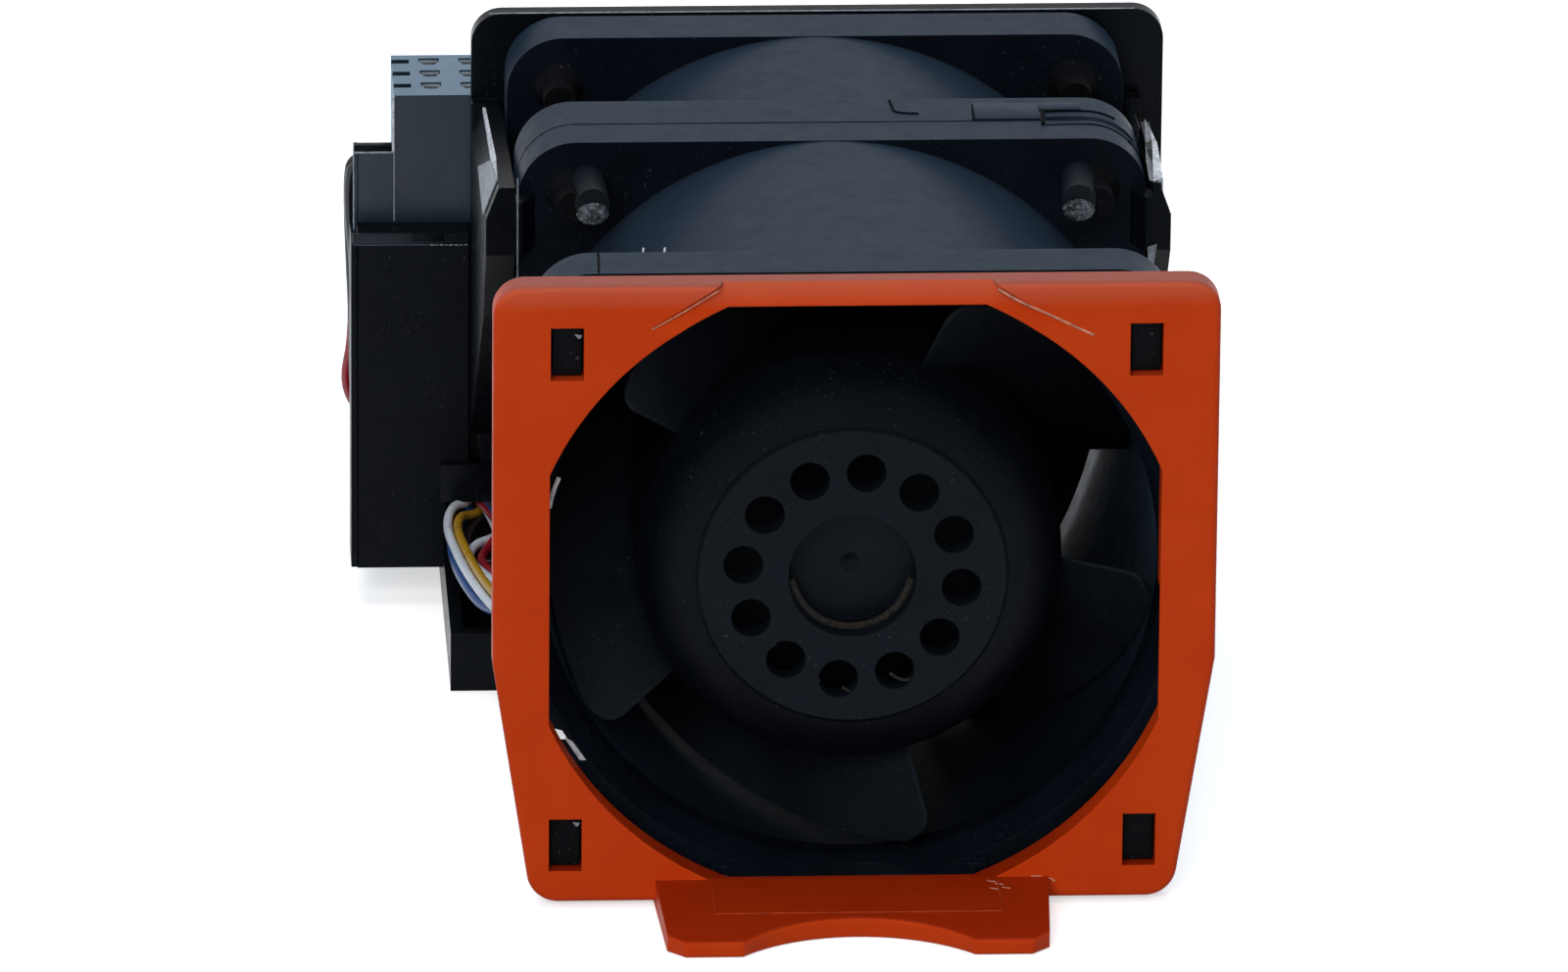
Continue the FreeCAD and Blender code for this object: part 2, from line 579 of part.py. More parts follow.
def front_impeller():
    face = FAN_FRONT - FRONT_HUB_PROUD
    rim = SEAM - HUB_START
    web = SEAM - YOKE_END
    shoulder = face + HUB_SHOULDER
    bulge = math.sqrt(0.5)
    edge_radius = HUB_FACE_RADIUS + HUB_EDGE
    drop = HUB_RADIUS - edge_radius
    hub = turned([(0, face), (HUB_FACE_RADIUS, face), (edge_radius, face + HUB_EDGE),
                  (edge_radius + drop * bulge, shoulder - (HUB_SHOULDER - HUB_EDGE) * bulge, "arc"),
                  (HUB_RADIUS, shoulder), (HUB_RADIUS, rim), (0, rim)])
    recess = HUB_RECESS_DIA / 2
    floor = face + HUB_RECESS_DEPTH
    under = floor + HUB_FACE_THICK
    inner = SHAFT_RADIUS + NOSE_BORE_WALL
    nose_room = turned([(inner, under), (recess + HUB_RECESS_WALL, under),
                        (recess + HUB_RECESS_WALL, face + HUB_FACE_THICK),
                        (HUB_FACE_RADIUS - HUB_FACE_THICK / 2, face + HUB_FACE_THICK),
                        (CUP_RADIUS, web - WEB_THICK - NOSE_EDGE), (CUP_RADIUS, web - WEB_THICK),
                        (inner, web - WEB_THICK)])
    hub = hub.cut(rod(CUP_RADIUS, web, rim)).cut(nose_room)
    hub = hub.cut(turned([(0, face - 0.01), (recess, face - 0.01), (HUB_RECESS_FLOOR_DIA / 2, floor),
                          (HUB_DIMPLE_DIA / 2, floor), (0, floor + HUB_DIMPLE_DEPTH)]))
    hub = hub.cut(rod(SHAFT_RADIUS, SEAM - SHAFT_END, web + 1))
    for i in range(HUB_HOLES):
        angle = math.radians(HUB_HOLE_ANGLE - i * 360 / HUB_HOLES)
        hub = hub.cut(rod(HUB_HOLE_DIA / 2, face - 1, under,
                          HUB_HOLE_RING * math.cos(angle), HUB_HOLE_RING * math.sin(angle)))
    fan = blades(SEAM - FRONT_BLADE_END, SEAM - FRONT_BLADE_START, -FRONT_BLADE_SWEEP, 1,
                 FRONT_BLADES, FRONT_BLADE_ANGLE, FRONT_WRAP)
    return fused([hub] + fan)


def rear_impeller():
    face = FAN_REAR - REAR_HUB_SET_BACK
    rim = SEAM + HUB_START
    web = SEAM + YOKE_END
    bulge = REAR_HUB_ROUND * (1 - math.sqrt(0.5))
    hub = turned([(0, rim), (HUB_RADIUS, rim), (HUB_RADIUS, face - REAR_HUB_ROUND),
                  (HUB_RADIUS - bulge, face - bulge, "arc"), (HUB_RADIUS - REAR_HUB_ROUND, face),
                  (0, face)])
    hub = hub.cut(rod(CUP_RADIUS, rim, web)).cut(rod(SHAFT_RADIUS, web - 1, SEAM + SHAFT_END))
    fan = blades(SEAM + REAR_BLADE_START, SEAM + REAR_BLADE_END, 0, -1, REAR_BLADES,
                 REAR_BLADE_ANGLE, REAR_WRAP)
    return fused([hub] + fan)


# ---------------------------------------------------------------- motors
def motor(side, lead_angle):
    """Inner parts of one motor by name, with heights counted from the seam."""
    def y(height):
        return SEAM + side * height

    parts = {}
    yoke = turned([(YOKE_RADIUS, y(YOKE_START)), (YOKE_RADIUS, y(YOKE_END)), (SHAFT_RADIUS, y(YOKE_END)),
                   (SHAFT_RADIUS, y(TUBE_END + RING_GAP)), (YOKE_BUSH_RADIUS, y(TUBE_END + RING_GAP)),
                   (YOKE_BUSH_RADIUS, y(YOKE_END - YOKE_WALL)),
                   (YOKE_RADIUS - YOKE_WALL, y(YOKE_END - YOKE_WALL)),
                   (YOKE_RADIUS - YOKE_WALL, y(YOKE_START))])
    parts["rotor_yoke"] = yoke
    parts["magnet_ring"] = ring(MAGNET_INNER, MAGNET_OUTER, y(MAGNET_START), y(MAGNET_START + MAGNET_LENGTH))
    groove_top = LOWER_BEARING - RING_GAP
    groove_start = groove_top - RING_THICK
    neck = SHAFT_RADIUS - GROOVE_DEPTH
    parts["shaft"] = turned([(0, y(BASE_THICK + 1.0)), (SHAFT_RADIUS, y(BASE_THICK + 1.0)),
                             (SHAFT_RADIUS, y(groove_start)), (neck, y(groove_start)),
                             (neck, y(groove_top)), (SHAFT_RADIUS, y(groove_top)),
                             (SHAFT_RADIUS, y(SHAFT_END)), (0, y(SHAFT_END))])
    clip = ring(neck, RING_RADIUS, y(groove_start), y(groove_top))
    clip_gap = box(0, RING_RADIUS + 1, y(groove_start), y(groove_top), -neck * 0.8, neck * 0.8)
    parts["retaining_ring"] = clip.cut(clip_gap)
    inner = SHAFT_RADIUS + SHAFT_FIT
    bearing = [ring(inner, TUBE_INNER, y(start), y(start + BEARING_WIDTH))
               for start in (LOWER_BEARING, UPPER_BEARING)]
    parts["ball_bearings"] = Part.makeCompound(bearing)
    tube = ring(TUBE_INNER, TUBE_OUTER, y(BASE_THICK), y(TUBE_END))
    ledge = ring(TUBE_INNER - TUBE_LEDGE, TUBE_INNER + TUBE_WALL / 2,
                 y(LOWER_BEARING + BEARING_WIDTH), y(UPPER_BEARING))
    parts["bearing_tube"] = fused([tube, ledge])
    parts["stator_core"], parts["windings"] = stator(y)
    board = ring(TUBE_OUTER + GLUE_LINE, BOARD_RADIUS, y(BOSS_TOP), y(BOSS_TOP + BOARD_THICK))
    post = box(POST_RADIUS - 1.0, POST_RADIUS, y(BASE_THICK + 0.1), y(BOSS_TOP + BOARD_THICK / 2),
               -LEAD_TUNNEL_WIDTH / 2, LEAD_TUNNEL_WIDTH / 2)
    parts["circuit_board"] = fused([board, around(post, lead_angle)])
    return parts


def stator(y):
    """Laminated core with its poles, and one coil round each pole."""
    y0 = y(CORE_START)
    y1 = y(CORE_START + CORE_STACK)
    yoke_radius = TUBE_OUTER + CORE_WALL
    core = [ring(TUBE_OUTER, yoke_radius, y0, y1)]
    coils = []
    shoe_inner = CORE_RADIUS - SHOE_THICK
    wedge_reach = CORE_RADIUS * 2
    half = math.radians(SHOE_ARC / 2)
    wedge = [Vector(0, y0, 0), Vector(wedge_reach * math.cos(half), y0, -wedge_reach * math.sin(half)),
             Vector(wedge_reach * math.cos(half), y0, wedge_reach * math.sin(half))]
    wedge = Part.Face(Part.makePolygon(wedge + wedge[:1])).extrude(Vector(0, y1 - y0, 0))
    shoe = ring(shoe_inner, CORE_RADIUS, y0, y1).common(wedge)
    pole = box(yoke_radius - POLE_OVERLAP, shoe_inner + POLE_OVERLAP, y0, y1, -POLE_WIDTH / 2, POLE_WIDTH / 2)
    coil_start = yoke_radius + COIL_INSET
    room = POLE_WIDTH / 2 + COIL_GAP
    coil_end = math.sqrt(shoe_inner ** 2 - (room + COIL_BUILD) ** 2) - COIL_GAP
    y_gap = COIL_GAP if y1 > y0 else -COIL_GAP
    y_build = COIL_BUILD if y1 > y0 else -COIL_BUILD
    hole = box(0, CORE_RADIUS, y0 - y_gap, y1 + y_gap, -room, room)
    coil = box(coil_start, coil_end, y0 - y_gap - y_build, y1 + y_gap + y_build,
               -room - COIL_BUILD, room + COIL_BUILD)
    long_edges = [e for e in coil.Edges if abs(e.Vertexes[0].X - e.Vertexes[1].X) > 0.1]
    coil = coil.makeFillet(COIL_BUILD * 0.6, long_edges).cut(hole)
    for i in range(POLE_COUNT):
        angle = i * 360 / POLE_COUNT
        core += [around(pole, angle), around(shoe, angle)]
        coils.append(around(coil, angle))
    return fused(core), Part.makeCompound(coils)


# ---------------------------------------------------------------- rubber parts
def front_isolators():
    """Collars between bezel and fan, each with a plug in the fan's corner hole and a
    tongue in the bezel's slot."""
    solids = []
    for x, z in slot_centres():
        hole_x = math.copysign(HALF_SPACING, x)
        hole_z = math.copysign(HALF_SPACING, z)
        collar = rod(COLLAR_DIA / 2, BEZEL_THICK, FAN_FRONT, hole_x, hole_z)
        plug = rod(HOLE_DIA / 2 - PLUG_PLAY, FAN_FRONT, FAN_FRONT + FRONT_OUTER_FLANGE, hole_x, hole_z)
        bulb_start = FAN_FRONT + FRONT_OUTER_FLANGE
        bulb = Part.makeCone(BULB_DIA / 2, TAIL_DIA / 2, BULB_LENGTH, Vector(hole_x, bulb_start, hole_z), AXIS)
        tongue = box(x - SLOT_WIDTH / 2 + TONGUE_PLAY, x + SLOT_WIDTH / 2 - TONGUE_PLAY,
                     TONGUE_SET_BACK, BEZEL_THICK + 0.5,
                     z - SLOT_HEIGHT / 2 + TONGUE_PLAY, z + SLOT_HEIGHT / 2 - TONGUE_PLAY)
        pad = box(x - SLOT_WIDTH / 2, x + SLOT_WIDTH / 2, BEZEL_THICK, FAN_FRONT,
                  z - SLOT_HEIGHT / 2, z + SLOT_HEIGHT / 2)
        solids.append(fused([collar, plug, bulb, tongue, pad]))
    return Part.makeCompound(solids)


def seam_rivets():
    """Rubber rivets that hold the two fans together at their facing flanges."""
    solids = []
    start = SEAM - FRONT_SEAM_FLANGE
    end = SEAM + REAR_SEAM_FLANGE
    for x, z in corners_of(HALF_SPACING):
        stem = rod(HOLE_DIA / 2 - PLUG_PLAY, start, end, x, z)
        head = Part.makeCone(BULB_DIA / 2, TAIL_DIA / 2, BULB_LENGTH, Vector(x, end, z), AXIS)
        bulb = Part.makeCone(TAIL_DIA / 2, BULB_DIA / 2, BULB_LENGTH, Vector(x, start - BULB_LENGTH, z), AXIS)
        tail = rod(TAIL_DIA / 2, start - BULB_LENGTH, start - TAIL_LENGTH, x, z)
        solids.append(fused([stem, head, bulb, tail]))
    return Part.makeCompound(solids)


def rear_isolators():
    """Rubber collars between the rear fan and the carrier's plate."""
    solids = []
    start = FAN_REAR - REAR_OUTER_FLANGE
    for x, z in corners_of(HALF_SPACING):
        collar = rod(COLLAR_DIA / 2, FAN_REAR, PLATE_FRONT, x, z)
        plug = rod(HOLE_DIA / 2 - PLUG_PLAY, start, PLATE_REAR, x, z)
        bulb = Part.makeCone(TAIL_DIA / 2, BULB_DIA / 2, BULB_LENGTH, Vector(x, start - BULB_LENGTH, z), AXIS)
        tail = rod(TAIL_DIA / 2, start - BULB_LENGTH, start - TAIL_LENGTH, x, z)
        head = Part.makeCone(BULB_DIA / 2, TAIL_DIA / 2, BULB_LENGTH, Vector(x, PLATE_REAR, z), AXIS)
        solids.append(fused([collar, plug, bulb, tail, head]))
    return Part.makeCompound(solids)


# ---------------------------------------------------------------- carrier
def side_arm(sign, thick):
    """Arm along the fans, bevelled along its outer top edge, with a hook over the front
    fan's seam flange."""
    inner = sign * (HALF_FAN + ARM_GAP)
    outer = inner + sign * thick
    tip = SEAM - FRONT_SEAM_FLANGE - HOOK_PLAY
    end = tip - HOOK_LENGTH
    profile = [(PLATE_FRONT, ARM_REAR_TOP), (end, ARM_FRONT_TOP), (end, HOOK_BOTTOM),
               (end + HOOK_UNDERCUT_RUN, HOOK_BOTTOM - HOOK_UNDERCUT), (PLATE_FRONT, ARM_BOTTOM)]
    points = [Vector(inner, y, z) for y, z in profile]
    arm = Part.Face(Part.makePolygon(points + points[:1])).extrude(Vector(outer - inner, 0, 0))
    along = Vector(0, PLATE_FRONT - end, ARM_REAR_TOP - ARM_FRONT_TOP)
    start = Vector(0, end, ARM_FRONT_TOP) - along * 0.1
    bevel = [start + Vector(outer - sign * ARM_BEVEL, 0, 0), start + Vector(outer, 0, -ARM_BEVEL_HEIGHT),
             start + Vector(outer + sign, 0, 0), start + Vector(outer - sign * ARM_BEVEL, 0, 1)]
    arm = arm.cut(Part.Face(Part.makePolygon(bevel + bevel[:1])).extrude(along * 1.05))
    hook = [Vector(inner, tip, HOOK_BOTTOM), Vector(inner - sign * HOOK_DEPTH, tip, HOOK_BOTTOM),
            Vector(inner - sign * HOOK_NOSE, end, HOOK_BOTTOM), Vector(inner, end, HOOK_BOTTOM)]
    hook = Part.Face(Part.makePolygon(hook + hook[:1]))
    hook = hook.extrude(Vector(0, 0, ARM_FRONT_TOP - HOOK_TOP_SET_IN - HOOK_BOTTOM))
    return fused([arm, hook])


def rear_frame():
    outline = panel_outline(PLATE_HALF_WIDTH, PLATE_FOOT_HALF_WIDTH, PLATE_TOP, BASE_DROP)
    plate = polygon([(x + PLATE_SHIFT, z) for x, z in outline], PLATE_FRONT, PLATE_REAR, PANEL_RADII)
    plate = plate.cut(air_opening(PLATE_FRONT - 1, PLATE_REAR + 1))
    left = -HALF_FAN - TROUGH_WIDTH
    inside = -HALF_FAN - ARM_GAP
    floor = box(left, inside, TROUGH_START, TROUGH_END, -BASE_DROP, -BASE_DROP + TROUGH_WALL)
    wall = box(left, left + TROUGH_WALL, TROUGH_START, TROUGH_END, -BASE_DROP, -BASE_DROP + TROUGH_HEIGHT)
    end = box(left, inside, TROUGH_START, TROUGH_START + TROUGH_WALL, -BASE_DROP, -BASE_DROP + TROUGH_HEIGHT)
    wall = wall.cut(box(left - 1, left + TROUGH_WALL + 1, PLATE_FRONT - 0.2, TROUGH_END + 1,
                        HOUSING_BOTTOM - EDGE_PLAY, 0))
    web = box(left, -PLATE_FOOT_HALF_WIDTH + 1, PLATE_FRONT, PLATE_REAR, -BASE_DROP, HOUSING_BOTTOM - EDGE_PLAY)
    frame = fused([plate, side_arm(-1, LEFT_ARM_THICK),
                   side_arm(1, RIGHT_ARM_THICK), floor, wall, end, web])
    frame = frame.cut(box(-PLATE_HALF_WIDTH - 1, -HALF_FAN + 0.2, PLATE_FRONT - 1, PLATE_REAR + 1,
                          NOTCH_BOTTOM, NOTCH_TOP))
    for x, z in corners_of(HALF_SPACING):
        frame = frame.cut(rod(HOLE_DIA / 2, PLATE_FRONT - 1, PLATE_REAR + 1, x, z))
    return frame


def housing_outline(inset):
    """Plan view of the connector housing, stepped round the carrier's plate."""
    step_x = -PLATE_LEFT - EDGE_PLAY
    left = -HOUSING_LEFT - (2.0 if inset else 0.0)
    return [(left, PLATE_FRONT + inset), (step_x - inset, PLATE_FRONT + inset),
            (step_x - inset, PLATE_REAR + inset), (-BLOCK_RIGHT - inset, PLATE_REAR + inset),
            (-BLOCK_RIGHT - inset, HOUSING_END - inset), (left, HOUSING_END - inset)]


def plan_prism(outline, z0, z1):
    points = [Vector(x, y, z0) for x, y in outline]
    return Part.Face(Part.makePolygon(points + points[:1])).extrude(Vector(0, 0, z1 - z0))


def connector_housing():
    shell = plan_prism(housing_outline(0), HOUSING_BOTTOM, HOUSING_TOP)
    room = plan_prism(housing_outline(HOUSING_WALL), HOUSING_BOTTOM + HOUSING_WALL, HOUSING_TOP - HOUSING_WALL)
    shell = shell.cut(room)
    shell = shell.cut(box(-BLOCK_LEFT - EDGE_PLAY / 2, -BLOCK_RIGHT - HOUSING_WALL,
                          BLOCK_FRONT - EDGE_PLAY / 2, BLOCK_REAR + EDGE_PLAY / 2,
                          HOUSING_TOP - 2 * HOUSING_WALL, HOUSING_TOP + 1))
    mouth = box(-HOUSING_MOUTH_LEFT, -BLOCK_RIGHT - HOUSING_WALL, PLATE_FRONT - 1,
                PLATE_REAR + HOUSING_WALL + 1, NOTCH_BOTTOM, NOTCH_TOP)
    wire_gap = box(-HOUSING_LEFT - 1, -HOUSING_LEFT + SHOULDER_SET_BACK, BLOCK_FRONT + SHOULDER_THICK,
                   BLOCK_REAR, HOUSING_TOP - 2 * HOUSING_WALL, HOUSING_TOP + 1)
    return shell.cut(mouth).cut(wire_gap)


def socket_places():
    for row in range(SOCKET_ROWS):
        for column in range(SOCKET_COLUMNS):
            yield (-BLOCK_LEFT + SOCKET_SIDE_SET_IN + column * SOCKET_COLUMN_PITCH,
                   BLOCK_FRONT + SOCKET_FRONT_SET_IN + row * SOCKET_ROW_PITCH)


def connector_block():
    """Grey contact block with a lower shoulder on its left, where the leads go in."""
    root = HOUSING_TOP - BLOCK_ROOT
    tower = box(-BLOCK_LEFT, -BLOCK_RIGHT - HOUSING_WALL - 0.1, BLOCK_FRONT, BLOCK_REAR, root, BLOCK_TOP)
    cap = box(-BLOCK_LEFT, -BLOCK_RIGHT, BLOCK_FRONT, BLOCK_REAR, HOUSING_TOP, BLOCK_TOP)
    shoulder = box(-HOUSING_LEFT, -BLOCK_LEFT, BLOCK_FRONT, BLOCK_FRONT + SHOULDER_THICK, HOUSING_TOP, SHOULDER_TOP)
    entry = box(-HOUSING_LEFT + SHOULDER_SET_BACK, -BLOCK_LEFT, BLOCK_FRONT, BLOCK_REAR - ENTRY_REAR_SET_IN,
                HOUSING_TOP, ENTRY_TOP)
    block = fused([tower, cap, shoulder, entry])
    for x, y in socket_places():
        block = block.cut(socket(x, y))
        block = block.cut(box(-BLOCK_LEFT - 1, -BLOCK_LEFT + RIB_SLOT_LENGTH, y - RIB_SLOT / 2, y + RIB_SLOT / 2,
                              BLOCK_TOP - RIB_SLOT_DEPTH, BLOCK_TOP + 1))
    return block


def socket(x, y):
    """Room of one contact, narrower on the side towards the fans."""
    wide = SOCKET_WIDTH / 2
    narrow = SOCKET_NARROW_WIDTH / 2
    half = SOCKET_DEPTH_Y / 2
    outline = [(x - wide, y + half), (x - wide, y), (x - narrow, y - half),
               (x + narrow, y - half), (x + wide, y), (x + wide, y + half)]
    return plan_prism(outline, BLOCK_TOP - SOCKET_DEPTH, BLOCK_TOP + 1)


def connector_contacts():
    """Spring contacts standing in the sockets."""
    floor = BLOCK_TOP - SOCKET_DEPTH
    solids = []
    for x, y in socket_places():
        blank = box(x - CONTACT_WIDTH / 2, x + CONTACT_WIDTH / 2, y - CONTACT_WIDTH / 2, y + CONTACT_WIDTH / 2,
                    floor, floor + CONTACT_STEM)
        slit = box(x - CONTACT_SLIT / 2, x + CONTACT_SLIT / 2, y - CONTACT_WIDTH, y + CONTACT_WIDTH,
                   floor + CONTACT_FOOT, floor + CONTACT_STEM + 1)
        solids.append(blank.cut(slit))
    return Part.makeCompound(solids)


# ---------------------------------------------------------------- leads
def lead_path(points):
    """Straight runs joined by tangent arcs as large as the runs allow."""
    edges = []
    start = points[0]
    radii = []
    for before, corner, after in zip(points, points[1:], points[2:]):
        back = before - corner
        ahead = after - corner
        shorter = min(back.Length, ahead.Length)
        turn = math.pi - back.getAngle(ahead)
        reach = 0.45 * shorter
        radius = reach / math.tan(turn / 2)
        back.normalize()
        ahead.normalize()
        first = corner + back * reach
        last = corner + ahead * reach
        bisector = (back + ahead).normalize()
        middle = corner + bisector * (radius / math.cos(turn / 2) - radius)
        edges.append(line(start, first))
        edges.append(arc(first, middle, last))
        radii.append(radius)
        start = last
    edges.append(line(start, points[-1]))
    return Part.Wire(edges), radii


def lead(name, points):
    path, radii = lead_path(points)
    direction = (points[1] - points[0]).normalize()
    section = Part.Wire([Part.makeCircle(WIRE_DIA / 2, points[0], direction)])
    tube = path.makePipeShell([section], True, False)
    expected = math.pi * (WIRE_DIA / 2) ** 2 * path.Length
    print("%-22s length %6.1f  volume/expected %.4f  smallest radius %.2f"
          % (name, path.Length, tube.Volume / expected, min(radii)))
    return tube


# how the four leads of a fan lie beside each other on a stretch: two spreads across the run
BACKWARDS = ((0, 0, -1), (1, 0, 0))
SPLAYED = ((0, 0, -1.5), (0.8, 0, -0.75))
TURNING = ((-0.25, 0, -1.2), (0.85, 0.85, 0))
LEFTWARDS = ((-0.5, -0.85, -0.65), (-0.5, 0.85, -0.65))
RISING = ((0, -1, 0), (-0.85, 0, -0.55))
UPWARDS = ((0, -1, 0), (-1, 0, 0))
OVER = ((0, -1, 0), (-0.9, 0, 0.4))
INWARDS = ((0, -1, 0), (-0.4, 0, 0.9))
INTO_BLOCK = ((0, -1, 0), (0, 0, 1))

# stations along each fan's leads, from the frame's side to the connector block: the middle
# of the four leads, and how they lie there
FRONT_LEAD_STATIONS = [
    ((-32.4, 50.1, -18.2), SPLAYED), ((-31.8, 55.5, -18.4), BACKWARDS),
    ((-32.5, 61.5, -18.4), BACKWARDS), ((-32.1, 66.5, -18.2), BACKWARDS),
    ((-31.6, 72.5, -18.1), BACKWARDS), ((-31.7, 79.0, -18.3), BACKWARDS),
    ((-31.9, 86.5, -18.6), BACKWARDS), ((-33.6, 91.6, -18.3), TURNING),
    ((-38.0, 93.4, -17.2), LEFTWARDS), ((-42.2, 93.2, -13.5), RISING),
    ((-43.9, 93.2, -7.5), UPWARDS), ((-43.8, 93.2, -0.5), UPWARDS),
    ((-44.0, 93.2, 4.6), UPWARDS), ((-44.05, 93.2, 7.9), UPWARDS),
    ((-43.9, 93.2, 9.8), OVER), ((-43.2, 93.2, 10.9), INWARDS),
]
REAR_LEAD_STATIONS = [
    ((-32.0, 54.4, -21.8), SPLAYED), ((-32.6, 59.5, -20.7), BACKWARDS),
    ((-33.8, 64.5, -20.3), BACKWARDS), ((-34.6, 70.0, -20.1), BACKWARDS),
    ((-34.9, 75.5, -20.2), BACKWARDS), ((-34.1, 80.5, -19.9), BACKWARDS),
    ((-34.3, 86.2, -20.1), BACKWARDS), ((-37.6, 89.6, -19.6), TURNING),
    ((-41.0, 90.4, -17.0), LEFTWARDS), ((-43.2, 90.3, -12.5), RISING),
    ((-44.1, 90.3, -5.5), UPWARDS), ((-43.9, 90.3, 1.5), UPWARDS),
    ((-44.0, 90.3, 4.6), UPWARDS), ((-44.05, 90.3, 7.9), UPWARDS),
    ((-43.9, 90.3, 9.8), OVER), ((-43.2, 90.3, 10.9), INWARDS),
]
LEAD_CORNER = HALF_FAN + 2.0      # where the leads turn backwards, left of the axis
LEAD_SLACK = {("front", "red", 12): (-0.55, 0, 0)}


def leads(fan, side, angle, stations, colours):
    """Names and route points of one fan's leads, from the circuit board to the connector."""
    outward = Vector(math.cos(math.radians(angle)), 0, math.sin(math.radians(angle)))
    across = (-outward.z, 0, outward.x)
    tunnel = (tuple(2 * value for value in across), across)
    depth = SEAM + side * LEAD_HEIGHT
    corner = LEAD_CORNER / -outward.x
    ends = [((outward.x * reach, depth, outward.z * reach), tunnel) for reach in (POST_RADIUS, corner)]
    last = ((-HOUSING_LEFT + SHOULDER_SET_BACK,) + stations[-1][0][1:], INTO_BLOCK)
    for index, colour in enumerate(colours):
        first = (index // 2 - 0.5) * WIRE_PITCH
        second = (index % 2 - 0.5) * WIRE_PITCH
        points = []
        for number, (middle, (spread_a, spread_b)) in enumerate(ends + stations + [last]):
            slack = LEAD_SLACK.get((fan, colour, number), (0, 0, 0))
            points.append(Vector(*middle) + Vector(*spread_a) * first + Vector(*spread_b) * second
                          + Vector(*slack))
        points[1] = points[0] + outward * ((-LEAD_CORNER - points[0].x) / outward.x)
        points[-2].z = points[-1].z
        yield "%s_lead_%s" % (fan, colour), points


# ---------------------------------------------------------------- build
FANS = [
    ("front", -1, FRONT_FAN_LENGTH, FRONT_SEAM_FLANGE, FRONT_OUTER_FLANGE, FRONT_LEAD_ANGLE,
     FRONT_LEAD_STATIONS, ["black", "red", "white", "blue"]),
    ("rear", 1, REAR_FAN_LENGTH, REAR_SEAM_FLANGE, REAR_OUTER_FLANGE, REAR_LEAD_ANGLE,
     REAR_LEAD_STATIONS, ["white", "yellow", "blue", "black"]),
]


def main():
    os.makedirs("parts", exist_ok=True)
    save("bezel", bezel())
    for fan, side, length, seam_flange, outer_flange, lead_angle, stations, colours in FANS:
        save(fan + "_housing", housing(side, length, seam_flange, outer_flange, lead_angle))
        for name, shape in motor(side, lead_angle).items():
            save(fan + "_" + name, shape)
        for name, points in leads(fan, side, lead_angle, stations, colours):
            save(name, lead(name, points))
    save("front_impeller", front_impeller())
    save("rear_impeller", rear_impeller())
    save("front_isolators", front_isolators())
    save("seam_rivets", seam_rivets())
    save("rear_isolators", rear_isolators())
    save("rear_frame", rear_frame())
    save("connector_housing", connector_housing())
    save("connector_block", connector_block())
    save("connector_contacts", connector_contacts())


main()
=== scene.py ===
"""Looks of a server fan module: two fans in line behind an orange bezel, held in a black
carrier with a grey plug-in connector on the left.

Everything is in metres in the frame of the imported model: +Y along the airflow, +Z up,
origin on the fan axis in the bezel's front face.
"""
import math

import bmesh
import bpy
from mathutils import Matrix, Vector


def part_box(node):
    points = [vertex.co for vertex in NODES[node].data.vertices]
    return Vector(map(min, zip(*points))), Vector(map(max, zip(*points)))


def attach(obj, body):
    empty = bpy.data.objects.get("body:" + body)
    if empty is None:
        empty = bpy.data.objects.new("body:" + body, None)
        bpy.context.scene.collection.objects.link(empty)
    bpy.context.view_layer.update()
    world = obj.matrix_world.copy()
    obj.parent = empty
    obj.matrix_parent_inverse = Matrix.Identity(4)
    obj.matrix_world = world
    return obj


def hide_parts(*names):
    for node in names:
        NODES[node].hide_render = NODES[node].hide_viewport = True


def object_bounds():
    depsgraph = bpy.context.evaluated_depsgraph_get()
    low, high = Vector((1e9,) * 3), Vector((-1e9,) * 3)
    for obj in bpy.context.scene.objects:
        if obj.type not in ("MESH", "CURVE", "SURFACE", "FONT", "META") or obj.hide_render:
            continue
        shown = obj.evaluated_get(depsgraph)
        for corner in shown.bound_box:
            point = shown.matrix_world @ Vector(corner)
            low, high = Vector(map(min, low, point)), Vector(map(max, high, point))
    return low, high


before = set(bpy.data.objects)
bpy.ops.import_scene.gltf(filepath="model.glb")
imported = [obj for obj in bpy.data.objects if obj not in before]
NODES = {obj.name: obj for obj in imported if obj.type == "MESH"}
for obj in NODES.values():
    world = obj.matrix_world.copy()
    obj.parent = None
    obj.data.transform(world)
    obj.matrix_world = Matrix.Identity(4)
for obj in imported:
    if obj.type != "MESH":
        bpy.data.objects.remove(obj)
CAD_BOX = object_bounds()
MM = 0.001


# ---------------------------------------------------------------- camera
def linear(red, green, blue):
    """Linear colour from display values between 0 and 255."""
    def one(value):
        share = value / 255
        return share / 12.92 if share <= 0.04045 else ((share + 0.055) / 1.055) ** 2.4
    return (one(red), one(green), one(blue), 1.0)


CAMERA_PLACE = (-86.17, -1459.91, 542.50)         # millimetres
CAMERA_FORWARD = (0.05105, 0.93837, -0.34186)
CAMERA_ROLL = 0.522                               # degrees
CAMERA_LENS = 383.0


def make_camera():
    """Long lens, in front of the module and above it, a little to its left."""
    place = Vector(CAMERA_PLACE) * MM
    forward = Vector(CAMERA_FORWARD).normalized()
    roll = math.radians(CAMERA_ROLL)
    level = forward.cross(Vector((0, 0, 1))).normalized()
    upright = level.cross(forward)
    right = level * math.cos(roll) + upright * math.sin(roll)
    up = upright * math.cos(roll) - level * math.sin(roll)
    data = bpy.data.cameras.new("camera")
    data.sensor_width = 36.0
    data.lens = CAMERA_LENS
    data.clip_start = 0.05
    data.clip_end = 20.0
    camera = bpy.data.objects.new("camera", data)
    bpy.context.scene.collection.objects.link(camera)
    turned = Matrix((right, up, -forward)).transposed()
    camera.matrix_world = Matrix.Translation(place) @ turned.to_4x4()
    bpy.context.scene.camera = camera


